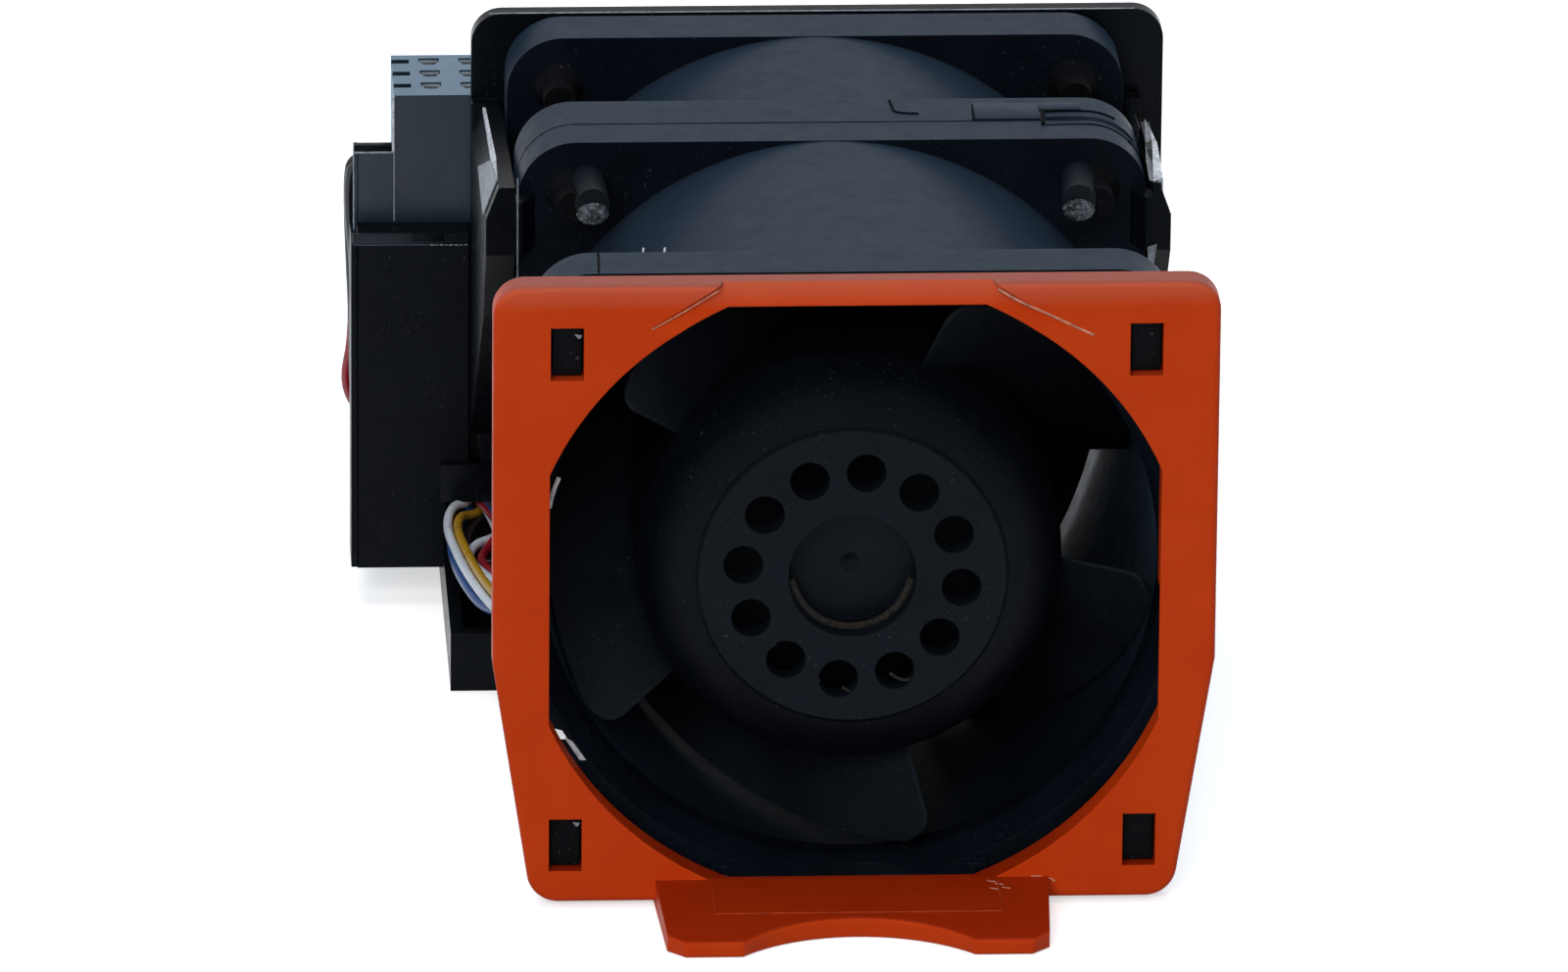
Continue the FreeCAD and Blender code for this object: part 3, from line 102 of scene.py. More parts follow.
# ---------------------------------------------------------------- material helpers
class Nodes:
    """Short hand for building one material's node tree."""

    def __init__(self, name):
        self.material = bpy.data.materials.new(name)
        self.material.use_nodes = True
        self.tree = self.material.node_tree
        self.shader = self.tree.nodes["Principled BSDF"]
        self.place = self.add("ShaderNodeTexCoord").outputs["Object"]

    def add(self, kind, **values):
        node = self.tree.nodes.new(kind)
        for key, value in values.items():
            if hasattr(node, key):
                setattr(node, key, value)
            else:
                node.inputs[key].default_value = value
        return node

    def join(self, output, target):
        self.tree.links.new(output, target)

    def noise(self, size, detail=2.0, roughness=0.5):
        """Noise with features of about the given size in millimetres."""
        node = self.add("ShaderNodeTexNoise")
        node.inputs["Scale"].default_value = 1 / (size * MM)
        node.inputs["Detail"].default_value = detail
        node.inputs["Roughness"].default_value = roughness
        self.join(self.place, node.inputs["Vector"])
        return node.outputs["Fac"]

    def ramp(self, value, low, high, start=0.0, end=1.0):
        """Value mapped from low..high onto start..end, held at both ends."""
        node = self.add("ShaderNodeMapRange")
        node.inputs["From Min"].default_value = low
        node.inputs["From Max"].default_value = high
        node.inputs["To Min"].default_value = start
        node.inputs["To Max"].default_value = end
        self.join(value, node.inputs["Value"])
        return node.outputs["Result"]

    def math(self, operation, first, second):
        node = self.add("ShaderNodeMath", operation=operation)
        for value, socket in zip((first, second), node.inputs):
            if isinstance(value, (int, float)):
                socket.default_value = value
            else:
                self.join(value, socket)
        return node.outputs[0]

    def mix(self, share, first, second):
        """Colour between first and second."""
        node = self.add("ShaderNodeMix", data_type="RGBA")
        sockets = [s for s in node.inputs if s.type == "RGBA"]
        self.join(share, node.inputs["Factor"])
        for value, socket in zip((first, second), sockets):
            if isinstance(value, tuple):
                socket.default_value = value
            else:
                self.join(value, socket)
        return [s for s in node.outputs if s.type == "RGBA"][0]

    def height(self, low, high):
        """0 to 1 between two heights in millimetres."""
        node = self.add("ShaderNodeSeparateXYZ")
        self.join(self.place, node.inputs[0])
        return self.ramp(node.outputs["Z"], low * MM, high * MM)

    def facing_up(self, low=0.4, high=0.9):
        """1 on surfaces that face upwards, where painted top light and shade are put."""
        node = self.add("ShaderNodeSeparateXYZ")
        self.join(self.add("ShaderNodeNewGeometry").outputs["Normal"], node.inputs[0])
        return self.ramp(node.outputs["Z"], low, high)

    def off_axis(self, low, high):
        """0 to 1 between two distances from the fans' axis, in millimetres."""
        flat = self.add("ShaderNodeVectorMath", operation="MULTIPLY")
        self.join(self.place, flat.inputs[0])
        flat.inputs[1].default_value = (1, 0, 1)
        length = self.add("ShaderNodeVectorMath", operation="LENGTH")
        self.join(flat.outputs["Vector"], length.inputs[0])
        return self.ramp(length.outputs["Value"], low * MM, high * MM)

    def rounded(self, radius):
        """Surface normal with edges rounded by a radius in millimetres."""
        node = self.add("ShaderNodeBevel", samples=6)
        node.inputs["Radius"].default_value = radius * MM
        return node.outputs["Normal"]

    def edges(self, normal):
        """1 on worn edges and 0 on flat stretches, from a rounded normal."""
        flat = self.add("ShaderNodeNewGeometry").outputs["Normal"]
        node = self.add("ShaderNodeVectorMath", operation="DOT_PRODUCT")
        self.join(normal, node.inputs[0])
        self.join(flat, node.inputs[1])
        return self.ramp(node.outputs["Value"], 0.995, 0.8)

    def bump(self, height, depth, normal=None):
        """Bump of the given depth in millimetres."""
        node = self.add("ShaderNodeBump")
        node.inputs["Distance"].default_value = depth * MM
        self.join(height, node.inputs["Height"])
        if normal:
            self.join(normal, node.inputs["Normal"])
        return node.outputs["Normal"]

    def finish(self, **sockets):
        for key, value in sockets.items():
            socket = self.shader.inputs[key.replace("_", " ")]
            if isinstance(value, (int, float, tuple)):
                socket.default_value = value
            else:
                self.join(value, socket)
        return self.material


GREY_DUST = (0.30, 0.31, 0.32, 1.0)
BLUE_HAZE = (0.36, 0.62, 1.0, 1.0)


def moulded_plastic(name, colour, lit, *, roughness, grain, grain_depth, edge_radius, specular,
                    dust=0.0, dust_colour=GREY_DUST, bloom=0.0, painted_light=None):
    """Moulded plastic: colour drifts a little, edges are rubbed lighter, specks of dust.
    Bloom is the bluish haze that a dark plastic shows at a flat angle; the function passed last paints
    light and shade of one piece into its colour. Sizes are in millimetres."""
    nodes = Nodes(name)
    drift = nodes.ramp(nodes.noise(9.0, detail=4.0, roughness=0.6), 0.35, 0.65)
    tint = nodes.mix(drift, colour, lit)
    soft = nodes.rounded(edge_radius)
    uneven = nodes.ramp(nodes.noise(1.3, detail=4.0), 0.4, 0.7, 0.1, 0.55)
    rub = nodes.math("MULTIPLY", nodes.edges(soft), uneven)
    lighter = tuple(min(1.0, value * 1.6 + 0.012) for value in lit[:3]) + (1.0,)
    tint = nodes.mix(rub, tint, lighter)
    # painted light and shade of one piece
    if painted_light:
        tint = painted_light(nodes, tint)
    if dust:
        specks = nodes.ramp(nodes.noise(0.35, detail=1.0), 0.70, 0.76)
        patches = nodes.ramp(nodes.noise(5.0, detail=3.0), 0.45, 0.7, 0.1, 1.0)
        cover = nodes.math("MULTIPLY", nodes.math("MULTIPLY", specks, patches), dust)
        tint = nodes.mix(cover, tint, dust_colour)
    fine = nodes.noise(grain, detail=3.0, roughness=0.65)
    patchy = nodes.noise(2.2, detail=5.0, roughness=0.7)
    gloss = nodes.ramp(patchy, 0.3, 0.7, roughness - 0.07, roughness + 0.07)
    return nodes.finish(Base_Color=tint, Roughness=gloss, Specular_IOR_Level=specular,
                        Sheen_Weight=bloom, Sheen_Roughness=0.35, Sheen_Tint=BLUE_HAZE,
                        Normal=nodes.bump(fine, grain_depth, soft))


def painted_bezel_light(nodes, tint):
    """Painted light on the bezel: a pale painted highlight along its top edge, painted shade on its upward
    faces, and darker painted shade on the tab's upper face under the bezel.
    """
    # pale painted highlight along the bezel's top edge
    pale = nodes.math("MULTIPLY", nodes.height(28.0, 30.6), 0.5)
    tint = nodes.mix(pale, tint, linear(206, 116, 88))
    # painted shade on the bezel's upward faces, against the light from above
    up = nodes.facing_up()
    top = nodes.math("MULTIPLY", nodes.math("MULTIPLY", up, nodes.height(20, 26)), 0.55)
    tint = nodes.mix(top, tint, linear(88, 66, 66))
    # painted shade on the tab's upper face, which the bezel hides from half of the light
    tab = nodes.math("MULTIPLY", nodes.math("MULTIPLY", up, nodes.height(-20, -26)), 0.6)
    return nodes.mix(tab, tint, linear(104, 6, 0))


BORE_REACH = (29.4, 29.6)         # where the bore's wall ends, in millimetres off the axis


def painted_bore_shade_and_top_light(nodes, tint):
    """Painted shade blackening the bore, and a painted bluish-slate reflection on the outer faces that
    look up.
    """
    # painted reflection on the outer faces that look up
    lit_tops = nodes.math("MULTIPLY", nodes.facing_up(0.05, 1.0), nodes.off_axis(*BORE_REACH))
    lit_tops = nodes.math("MULTIPLY", lit_tops, nodes.height(-8, -2))
    tint = nodes.mix(lit_tops, tint, linear(32, 44, 57))
    # painted shade deep in the bore
    inside = nodes.math("MULTIPLY", nodes.off_axis(*reversed(BORE_REACH)), 0.6)
    return nodes.mix(inside, tint, linear(2, 3, 4))


def painted_top_light(nodes, tint):
    """Painted bluish highlight on the connector's upper faces."""
    return nodes.mix(nodes.facing_up(), tint, linear(76, 102, 119))


def painted_shoulder_shade(nodes, tint):
    """Painted shade on the hub's shoulder, darker than its flat face and than the blades."""
    shoulder = nodes.math("MULTIPLY", nodes.off_axis(14.3, 14.6), nodes.off_axis(21.0, 19.5))
    return nodes.mix(nodes.math("MULTIPLY", shoulder, 0.75), tint, linear(2, 5, 9))


def orange_plastic():
    return moulded_plastic("orange_plastic", linear(196, 58, 10), linear(202, 64, 13), roughness=0.5,
                           grain=0.16, grain_depth=0.012, edge_radius=0.22, specular=0.12,
                           dust=0.12, dust_colour=linear(205, 120, 90), painted_light=painted_bezel_light)


def black_plastic():
    return moulded_plastic("black_frame_plastic", linear(8, 12, 18), linear(12, 18, 26), roughness=0.42,
                           grain=0.18, grain_depth=0.010, edge_radius=0.15, specular=0.05,
                           dust=0.12, bloom=0.03, painted_light=painted_bore_shade_and_top_light)


def impeller_plastic():
    return moulded_plastic("impeller_plastic", linear(12, 16, 21), linear(17, 22, 28), roughness=0.45,
                           grain=0.22, grain_depth=0.012, edge_radius=0.12, specular=0.06,
                           dust=0.14, painted_light=painted_shoulder_shade)


def carrier_plastic():
    return moulded_plastic("carrier_plastic", linear(6, 9, 13), linear(9, 13, 18), roughness=0.3,
                           grain=0.25, grain_depth=0.006, edge_radius=0.15, specular=0.06, dust=0.12)


def connector_plastic():
    return moulded_plastic("connector_plastic", linear(22, 34, 45), linear(26, 39, 51), roughness=0.35,
                           grain=0.2, grain_depth=0.004, edge_radius=0.1, specular=0.42,
                           bloom=0.4, painted_light=painted_top_light)


def rubber():
    return moulded_plastic("isolator_rubber", linear(7, 8, 10), linear(12, 14, 17), roughness=0.6,
                           grain=0.3, grain_depth=0.02, edge_radius=0.2, specular=0.05, dust=0.25)


def slate_rubber():
    return moulded_plastic("slate_rubber", linear(14, 18, 24), linear(20, 25, 32), roughness=0.5,
                           grain=0.3, grain_depth=0.02, edge_radius=0.1, specular=0.2, dust=0.1)


def torn_rubber():
    """Torn face of a rubber pin: a crumbly pale painted highlight on the rough end, over dark rubber."""
    nodes = Nodes("torn_rubber")
    lit_crumbs = nodes.ramp(nodes.noise(0.55, detail=5.0, roughness=0.75), 0.45, 0.62)
    return nodes.finish(Base_Color=nodes.mix(lit_crumbs, linear(14, 17, 21), linear(92, 101, 108)),
                        Roughness=0.5, Normal=nodes.bump(nodes.noise(0.4, detail=4.0), 0.12))


def caked_dust():
    """Brown dust caked in corners of the fan's nose."""
    nodes = Nodes("caked_dust")
    lumps = nodes.noise(0.35, detail=5.0, roughness=0.7)
    tint = nodes.mix(nodes.ramp(lumps, 0.4, 0.6), linear(18, 17, 16), linear(50, 45, 39))
    return nodes.finish(Base_Color=tint, Roughness=0.95, Normal=nodes.bump(lumps, 0.1))


def ledge_shade():
    """Painted shade for the connector housing's ledge: plastic a little greyer than the carrier, in the
    tone of shaded connector plastic.
    """
    return moulded_plastic("ledge_painted_shade", linear(18, 23, 30), linear(23, 28, 36), roughness=0.4,
                           grain=0.2, grain_depth=0.006, edge_radius=0.08, specular=0.2, dust=0.1)


def shadow_gap():
    """Joint between two mouldings, filled with dark grime; also used as painted shadow beside the latch
    pad and at the flange's step.
    """
    return moulded_plastic("joint_grime_and_shadow", linear(3, 4, 6), linear(6, 8, 11), roughness=0.7,
                           grain=0.2, grain_depth=0.01, edge_radius=0.05, specular=0.04)


def pale_wear_and_highlight(name, colour):
    """Pale plastic with darker blotches, for edges rubbed pale and for painted highlights and glints."""
    nodes = Nodes(name)
    darker = tuple(value * 0.45 for value in colour[:3]) + (1.0,)
    blotches = nodes.ramp(nodes.noise(0.9, 4.0, 0.7), 0.35, 0.6)
    return nodes.finish(Base_Color=nodes.mix(blotches, darker, colour), Roughness=0.45,
                        Normal=nodes.bump(nodes.noise(0.3, 3.0), 0.01))


def lead_insulation(name, colour):
    """Smooth PVC insulation with faint handling marks."""
    nodes = Nodes(name)
    drift = nodes.ramp(nodes.noise(3.0, 3.0), 0.3, 0.7)
    darker = tuple(value * 0.82 for value in colour[:3]) + (1.0,)
    marks = nodes.noise(0.4, 3.0)
    gloss = nodes.ramp(nodes.noise(1.5, 3.0), 0.3, 0.7, 0.24, 0.40)
    return nodes.finish(Base_Color=nodes.mix(drift, darker, colour), Roughness=gloss,
                        Coat_Weight=0.15, Normal=nodes.bump(marks, 0.006))


def brushed_metal(name, colour, roughness):
    """Turned or stamped metal with fine marks and a few stains."""
    nodes = Nodes(name)
    stains = nodes.ramp(nodes.noise(3.0, 5.0, 0.6), 0.4, 0.7)
    darker = tuple(value * 0.6 for value in colour[:3]) + (1.0,)
    gloss = nodes.ramp(nodes.noise(0.5, 4.0), 0.3, 0.7, roughness - 0.08, roughness + 0.1)
    return nodes.finish(Base_Color=nodes.mix(stains, colour, darker), Roughness=gloss, Metallic=1.0,
                        Normal=nodes.bump(nodes.noise(0.12, 2.0), 0.004, nodes.rounded(0.08)))


def laminations():
    """Electrical steel sheets stacked along the axis, 0.5 mm each."""
    nodes = Nodes("core_laminations")
    wave = nodes.add("ShaderNodeTexWave", wave_type="BANDS", bands_direction="Y")
    wave.inputs["Scale"].default_value = 1 / (0.5 * MM) / 20 * math.pi / 3.2
    nodes.join(nodes.place, wave.inputs["Vector"])
    sheets = wave.outputs["Fac"]
    tint = nodes.mix(sheets, linear(70, 72, 76), linear(150, 152, 155))
    return nodes.finish(Base_Color=tint, Roughness=0.4, Metallic=0.9, Normal=nodes.bump(sheets, 0.03))


def enamelled_wire():
    """Copper winding, its turns side by side."""
    nodes = Nodes("winding_enamelled_copper")
    wave = nodes.add("ShaderNodeTexWave", wave_type="RINGS", rings_direction="Y")
    wave.inputs["Scale"].default_value = 1 / (0.35 * MM) / 20 * math.pi / 3.2
    nodes.join(nodes.place, wave.inputs["Vector"])
    turns = wave.outputs["Fac"]
    tint = nodes.mix(turns, linear(110, 45, 18), linear(205, 110, 60))
    return nodes.finish(Base_Color=tint, Roughness=0.3, Metallic=0.8, Coat_Weight=0.5,
                        Normal=nodes.bump(turns, 0.05))


def sintered_magnet():
    nodes = Nodes("sintered_magnet")
    tint = nodes.mix(nodes.ramp(nodes.noise(0.8, 6.0), 0.3, 0.7), linear(38, 38, 40), linear(60, 60, 62))
    return nodes.finish(Base_Color=tint, Roughness=0.6, Normal=nodes.bump(nodes.noise(0.2, 4.0), 0.03))


def board_laminate():
    nodes = Nodes("circuit_board_laminate")
    tint = nodes.mix(nodes.ramp(nodes.noise(1.6, 2.0), 0.45, 0.5), linear(12, 62, 36), linear(20, 84, 48))
    return nodes.finish(Base_Color=tint, Roughness=0.35, Coat_Weight=0.3,
                        Normal=nodes.bump(nodes.noise(0.5, 2.0), 0.01, nodes.rounded(0.05)))


# ---------------------------------------------------------------- which node has which finish
LEAD_COLOURS = {
    "black": linear(16, 18, 22), "red": linear(150, 24, 36), "white": linear(214, 220, 228),
    "blue": linear(22, 66, 124), "yellow": linear(186, 140, 32),
}


def dress_nodes():
    """Gives each carried-over node its material, which fills all of its slots."""
    black = black_plastic()
    blades = impeller_plastic()
    carrier = carrier_plastic()
    elastic = rubber()
    finishes = {
        "bezel": orange_plastic(), "rear_frame": carrier, "connector_housing": carrier,
        "connector_block": connector_plastic(),
        "connector_contacts": brushed_metal("contact_metal", linear(205, 190, 150), 0.3),
        "front_isolators": elastic, "rear_isolators": elastic, "seam_rivets": elastic,
    }
    motor = {
        "housing": black, "impeller": blades,
        "rotor_yoke": brushed_metal("yoke_steel", linear(150, 152, 156), 0.35),
        "magnet_ring": sintered_magnet(),
        "shaft": brushed_metal("shaft_steel", linear(190, 192, 196), 0.2),
        "retaining_ring": brushed_metal("spring_steel", linear(120, 122, 126), 0.3),
        "ball_bearings": brushed_metal("bearing_steel", linear(200, 202, 206), 0.15),
        "bearing_tube": brushed_metal("tube_brass", linear(200, 160, 80), 0.3),
        "stator_core": laminations(), "windings": enamelled_wire(), "circuit_board": board_laminate(),
    }
    insulation = {key: lead_insulation("lead_insulation_" + key, colour)
                  for key, colour in LEAD_COLOURS.items()}
    for name, node in NODES.items():
        if "_lead_" in name:
            material = insulation[name.rsplit("_", 1)[1]]
        else:
            material = finishes.get(name) or motor[name.partition("_")[2]]
        node.data.materials.clear()
        node.data.materials.append(material)
    return {"black": black, "carrier": carrier, "connector": finishes["connector_block"],
            "leads": insulation}


# ---------------------------------------------------------------- modelling helpers
def settle(name, material, rides="module"):
    """Finishes the active mesh object: named, dressed and riding on its body."""
    piece = bpy.context.active_object
    piece.name = name
    bpy.ops.object.transform_apply(location=True, rotation=True, scale=True)
    piece.data.materials.clear()
    piece.data.materials.append(material)
    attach(piece, rides)
    return piece


def add_block(low, high):
    """Box between two corners in millimetres, left in edit mode with all of it selected."""
    bpy.ops.object.select_all(action="DESELECT")
    middle = [(a + b) / 2 * MM for a, b in zip(low, high)]
    bpy.ops.mesh.primitive_cube_add(size=1.0, location=middle)
    block = bpy.context.active_object
    block.scale = [(b - a) * MM for a, b in zip(low, high)]
    bpy.ops.object.transform_apply(location=True, rotation=True, scale=True)
    bpy.ops.object.mode_set(mode="EDIT")
    return block


def smooth_up_to(degrees):
    """Leaves edit mode, and shades the active object smooth where it bends by less."""
    bpy.ops.object.mode_set(mode="OBJECT")
    bpy.ops.object.shade_smooth_by_angle(angle=math.radians(degrees))


def rounded_block(name, low, high, radius, material, segments=2):
    """Block between two corners with its edges rounded, in millimetres."""
    add_block(low, high)
    bpy.ops.mesh.select_all(action="SELECT")
    bpy.ops.mesh.bevel(offset=radius * MM, segments=segments, affect="EDGES")
    bpy.ops.mesh.normals_make_consistent(inside=False)
    smooth_up_to(35)
    return settle(name, material)


def tube(name, stations, radius, material, sides=4, rides="module"):
    """Round flexible piece along a smooth curve through its stations, in millimetres."""
    curve = bpy.data.curves.new(name, "CURVE")
    curve.dimensions = "3D"
    curve.bevel_depth = radius * MM
    curve.bevel_resolution = sides
    curve.use_fill_caps = True
    curve.resolution_u = 5
    run = curve.splines.new("NURBS")
    run.points.add(len(stations) - 1)
    for point, place in zip(run.points, stations):
        point.co = [value * MM for value in place] + [1.0]
    run.order_u = 3
    run.use_endpoint_u = True
    piece = bpy.data.objects.new(name, curve)
    bpy.context.scene.collection.objects.link(piece)
    bpy.ops.object.select_all(action="DESELECT")
    piece.select_set(True)
    bpy.context.view_layer.objects.active = piece
    bpy.ops.object.convert(target="MESH")
    bpy.ops.object.mode_set(mode="EDIT")
    bpy.ops.mesh.select_all(action="SELECT")
    bpy.ops.mesh.remove_doubles(threshold=0.01 * MM)
    bpy.ops.mesh.normals_make_consistent(inside=False)
    smooth_up_to(40)
    return settle(name, material, rides)


def facet(name, corners, material, depth=0.12, back=None):
    """Thin flat piece with the given corners, in millimetres, named from one end round.
    Its thickness goes back along its own normal, or along the way given."""
    bpy.ops.object.select_all(action="DESELECT")
    bpy.ops.mesh.primitive_circle_add(vertices=len(corners), radius=MM, fill_type="NGON")
    bpy.ops.object.mode_set(mode="EDIT")
    outline = bmesh.from_edit_mesh(bpy.context.active_object.data)
    outline.verts.ensure_lookup_table()
    for vertex, corner in zip(outline.verts, corners):
        vertex.co = Vector(corner) * MM
    outline.normal_update()
    if back is None:
        back = outline.faces[:][0].normal
        back = -back if back.y < 0 else back.copy()
    back = Vector(back) * depth * MM
    bmesh.update_edit_mesh(bpy.context.active_object.data)
    bpy.ops.mesh.select_all(action="SELECT")
    bpy.ops.mesh.extrude_region_move(TRANSFORM_OT_translate={"value": back})
    bpy.ops.mesh.select_all(action="SELECT")
    bpy.ops.mesh.normals_make_consistent(inside=False)
    bpy.ops.object.mode_set(mode="OBJECT")
    return settle(name, material)


# ---------------------------------------------------------------- places read from the frame
def corners_of(node):
    """Lowest and highest corner of a carried-over node at rest, in millimetres."""
    low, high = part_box(node)
    return low / MM, high / MM


FLANGE_EDGE = corners_of("front_housing")[1].x          # sides and top of both fans
SEAM_LEVEL = corners_of("front_housing")[1].y           # where the fans meet
BEZEL_BACK = corners_of("bezel")[1].y
NOSE = corners_of("front_impeller")[0].y                # flat front of the hub
ARM_FRONT = corners_of("rear_frame")[0].y               # front ends of the carrier's arms
PLATE_TOP = corners_of("rear_frame")[1].z
HOUSING_LEFT, PLATE_FRONT, HOUSING_BOTTOM = corners_of("connector_housing")[0]
HOUSING_TOP = corners_of("connector_housing")[1].z
BLOCK_FRONT = corners_of("connector_block")[0].y
BLOCK_TOP = corners_of("connector_block")[1].z

LEFT = -1
RIGHT = 1


# ---------------------------------------------------------------- seam between the fans
FLANGE_CORNER = 5.5               # radius of the flanges' corners
JOINT_HALF_WIDTH = 0.09
JOINT_PROUD = 0.03                # the joint stands this far off the flanges
JOINT_WALL = 0.3


def corner_places(behind, start, end, lift, steps=6):
    """Places round the flanges' upper right corner, so far behind the seam, between two
    angles in degrees from the +X axis."""
    middle = FLANGE_EDGE - FLANGE_CORNER
    reach = FLANGE_CORNER + lift
    angles = [math.radians(start + (end - start) * i / (steps - 1)) for i in range(steps)]
    return [(middle + reach * math.cos(a), SEAM_LEVEL + behind, middle + reach * math.sin(a))
            for a in angles]


def seam_joint(material):
    """Dark joint that runs round the flanges where the two fans meet."""
    edge = FLANGE_EDGE + JOINT_PROUD
    block = add_block((-edge, SEAM_LEVEL - JOINT_HALF_WIDTH, -edge),
                      (edge, SEAM_LEVEL + JOINT_HALF_WIDTH, edge))
    mesh = bmesh.from_edit_mesh(block.data)
    for face in mesh.faces:
        face.select = False
    mesh.select_mode = {"EDGE"}
    mesh.select_flush_mode()
    for item in mesh.edges:
        first, last = item.verts
        item.select = abs(first.co.y - last.co.y) > JOINT_HALF_WIDTH * MM
    bmesh.update_edit_mesh(block.data)
    bpy.ops.mesh.bevel(offset=FLANGE_CORNER * MM, segments=8, affect="EDGES")
    mesh = bmesh.from_edit_mesh(block.data)
    for face in mesh.faces:
        face.select = abs(face.normal.y) > 0.9
    bmesh.update_edit_mesh(block.data)
    bpy.ops.mesh.delete(type="FACE")
    bpy.ops.object.mode_set(mode="OBJECT")
    wall = block.modifiers.new("wall", "SOLIDIFY")
    wall.thickness = JOINT_WALL * MM
    wall.offset = -1
    bpy.ops.object.modifier_apply(modifier=wall.name)
    return settle("seam_joint", material)


def on_top(x, behind, up=0.0):
    """Place on the flanges' top edge, so far behind the seam."""
    return (x, SEAM_LEVEL + behind, FLANGE_EDGE + up)


def latch(plastic, grime_and_shadow):
    """Latch of the rear fan on the top edge: a raised pad and a tongue cut free by slots, with painted
    shadow lines beside the pad and at the flange's step.
    """
    rounded_block("latch_pad", on_top(13.9, 0.15, -0.4), on_top(20.15, 4.95, 0.18), 0.12, plastic)
    rounded_block("latch_pad_end", on_top(20.0, 2.85, -0.4), on_top(24.2, 4.95, 0.17), 0.12, plastic)
    # painted shadow line along the pad's left side
    gap = [on_top(13.75, 0.15, -0.05), on_top(13.8, 2.65, -0.05), on_top(13.95, 4.85, -0.05)]
    tube("latch_shadow_left", gap, 0.16, grime_and_shadow)
    end = [on_top(20.3, -1.35, 0.05), on_top(20.4, 0.45, 0.05), on_top(20.5, 2.35, 0.05)]
    tube("latch_slot_end", end, 0.2, grime_and_shadow)
    upper = [on_top(20.5, 2.4, 0.12), on_top(22.4, 2.65, 0.1)]
    tube("latch_slot_upper", upper + corner_places(2.55, 88, 58, 0.02), 0.13, grime_and_shadow)
    lower = [on_top(20.4, -1.45, -0.05), on_top(22.4, -1.15, -0.05)]
    tube("latch_slot_lower", lower + corner_places(-1.25, 88, 30, -0.02, steps=8), 0.13, grime_and_shadow)
    tongue = [on_top(20.7, 0.55, 0.02), on_top(23.0, 0.75, 0.02)]
    tube("latch_tongue", tongue + corner_places(0.65, 86, 34, -0.1, steps=8), 0.3, plastic)
    tip = [on_top(28.5, -1.45, -1.65), on_top(29.3, -1.35, -2.7), on_top(29.8, -1.25, -4.0)]
    tube("latch_tip", tip, 0.13, grime_and_shadow)
    # painted shadow line along the step where the flange is cut back
    step = [on_top(6.0, 6.25), on_top(6.15, 4.25), on_top(6.3, 2.35), on_top(8.6, 2.25)]
    tube("flange_step_shadow", step, 0.14, grime_and_shadow)


def intake_clip(grime_and_shadow, pale_mark):
    """Clip let into the top of the front fan's outer flange."""
    def behind_bezel(x, behind, up=0.0):
        return (x, BEZEL_BACK + behind, FLANGE_EDGE + up)

    gap = [behind_bezel(-23.9, 2.4), behind_bezel(-23.8, 5.0), behind_bezel(-23.75, 7.8)]
    tube("clip_gap", gap, 0.12, grime_and_shadow)
    for number, x in enumerate((-19.5, -17.5)):
        mark = [behind_bezel(x - 0.05, 8.0, -0.2), behind_bezel(x, 8.25, 0.05),
                behind_bezel(x + 0.02, 8.4, 0.3)]
        tube("clip_mark_%d" % number, mark, 0.1, pale_mark)


TAIL_RADIUS = 1.62                # drooping end of a rubber rivet
STUMP_RADIUS = 1.5                # its torn face
STUMP_SHAPE = (1.0, 0.5, 0.72)
STUMP_ROUGHNESS = 0.12


def torn_rivet_ends(skin, torn):
    """Torn, drooping ends beside the two upper rubber rivets, which stay in view."""
    def ahead_of_seam(side, inwards, ahead, down):
        return (side * (FLANGE_EDGE - inwards), SEAM_LEVEL - ahead, FLANGE_EDGE - down)

    for side, name in ((LEFT, "left"), (RIGHT, "right")):
        pin = [ahead_of_seam(side, 6.5, 5.05, 3.9), ahead_of_seam(side, 6.7, 7.75, 4.1),
               ahead_of_seam(side, 6.85, 10.75, 4.4)]
        tube("rivet_tail_" + name, pin, TAIL_RADIUS, skin, sides=24)
        bpy.ops.object.select_all(action="DESELECT")
        bpy.ops.mesh.primitive_ico_sphere_add(subdivisions=4, radius=STUMP_RADIUS * MM)
        stump = bpy.context.active_object
        stump.location = Vector(ahead_of_seam(side, 6.85, 10.85, 5.3)) * MM
        stump.scale = STUMP_SHAPE
        bpy.ops.object.transform_apply(location=True, rotation=True, scale=True)
        bpy.ops.object.mode_set(mode="EDIT")
        bpy.ops.mesh.select_all(action="SELECT")
        bpy.ops.transform.vertex_random(offset=STUMP_ROUGHNESS * MM, seed=5 + side)
        smooth_up_to(30)
        settle("torn_rivet_end_" + name, torn)


# ---------------------------------------------------------------- carrier and connector
def arm_places(side, *places):
    """Places on a carrier arm: out from the fan's side, back from the arm's front end,
    and height over the axis."""
    return [(side * (FLANGE_EDGE + out), ARM_FRONT + back, height) for out, back, height in places]


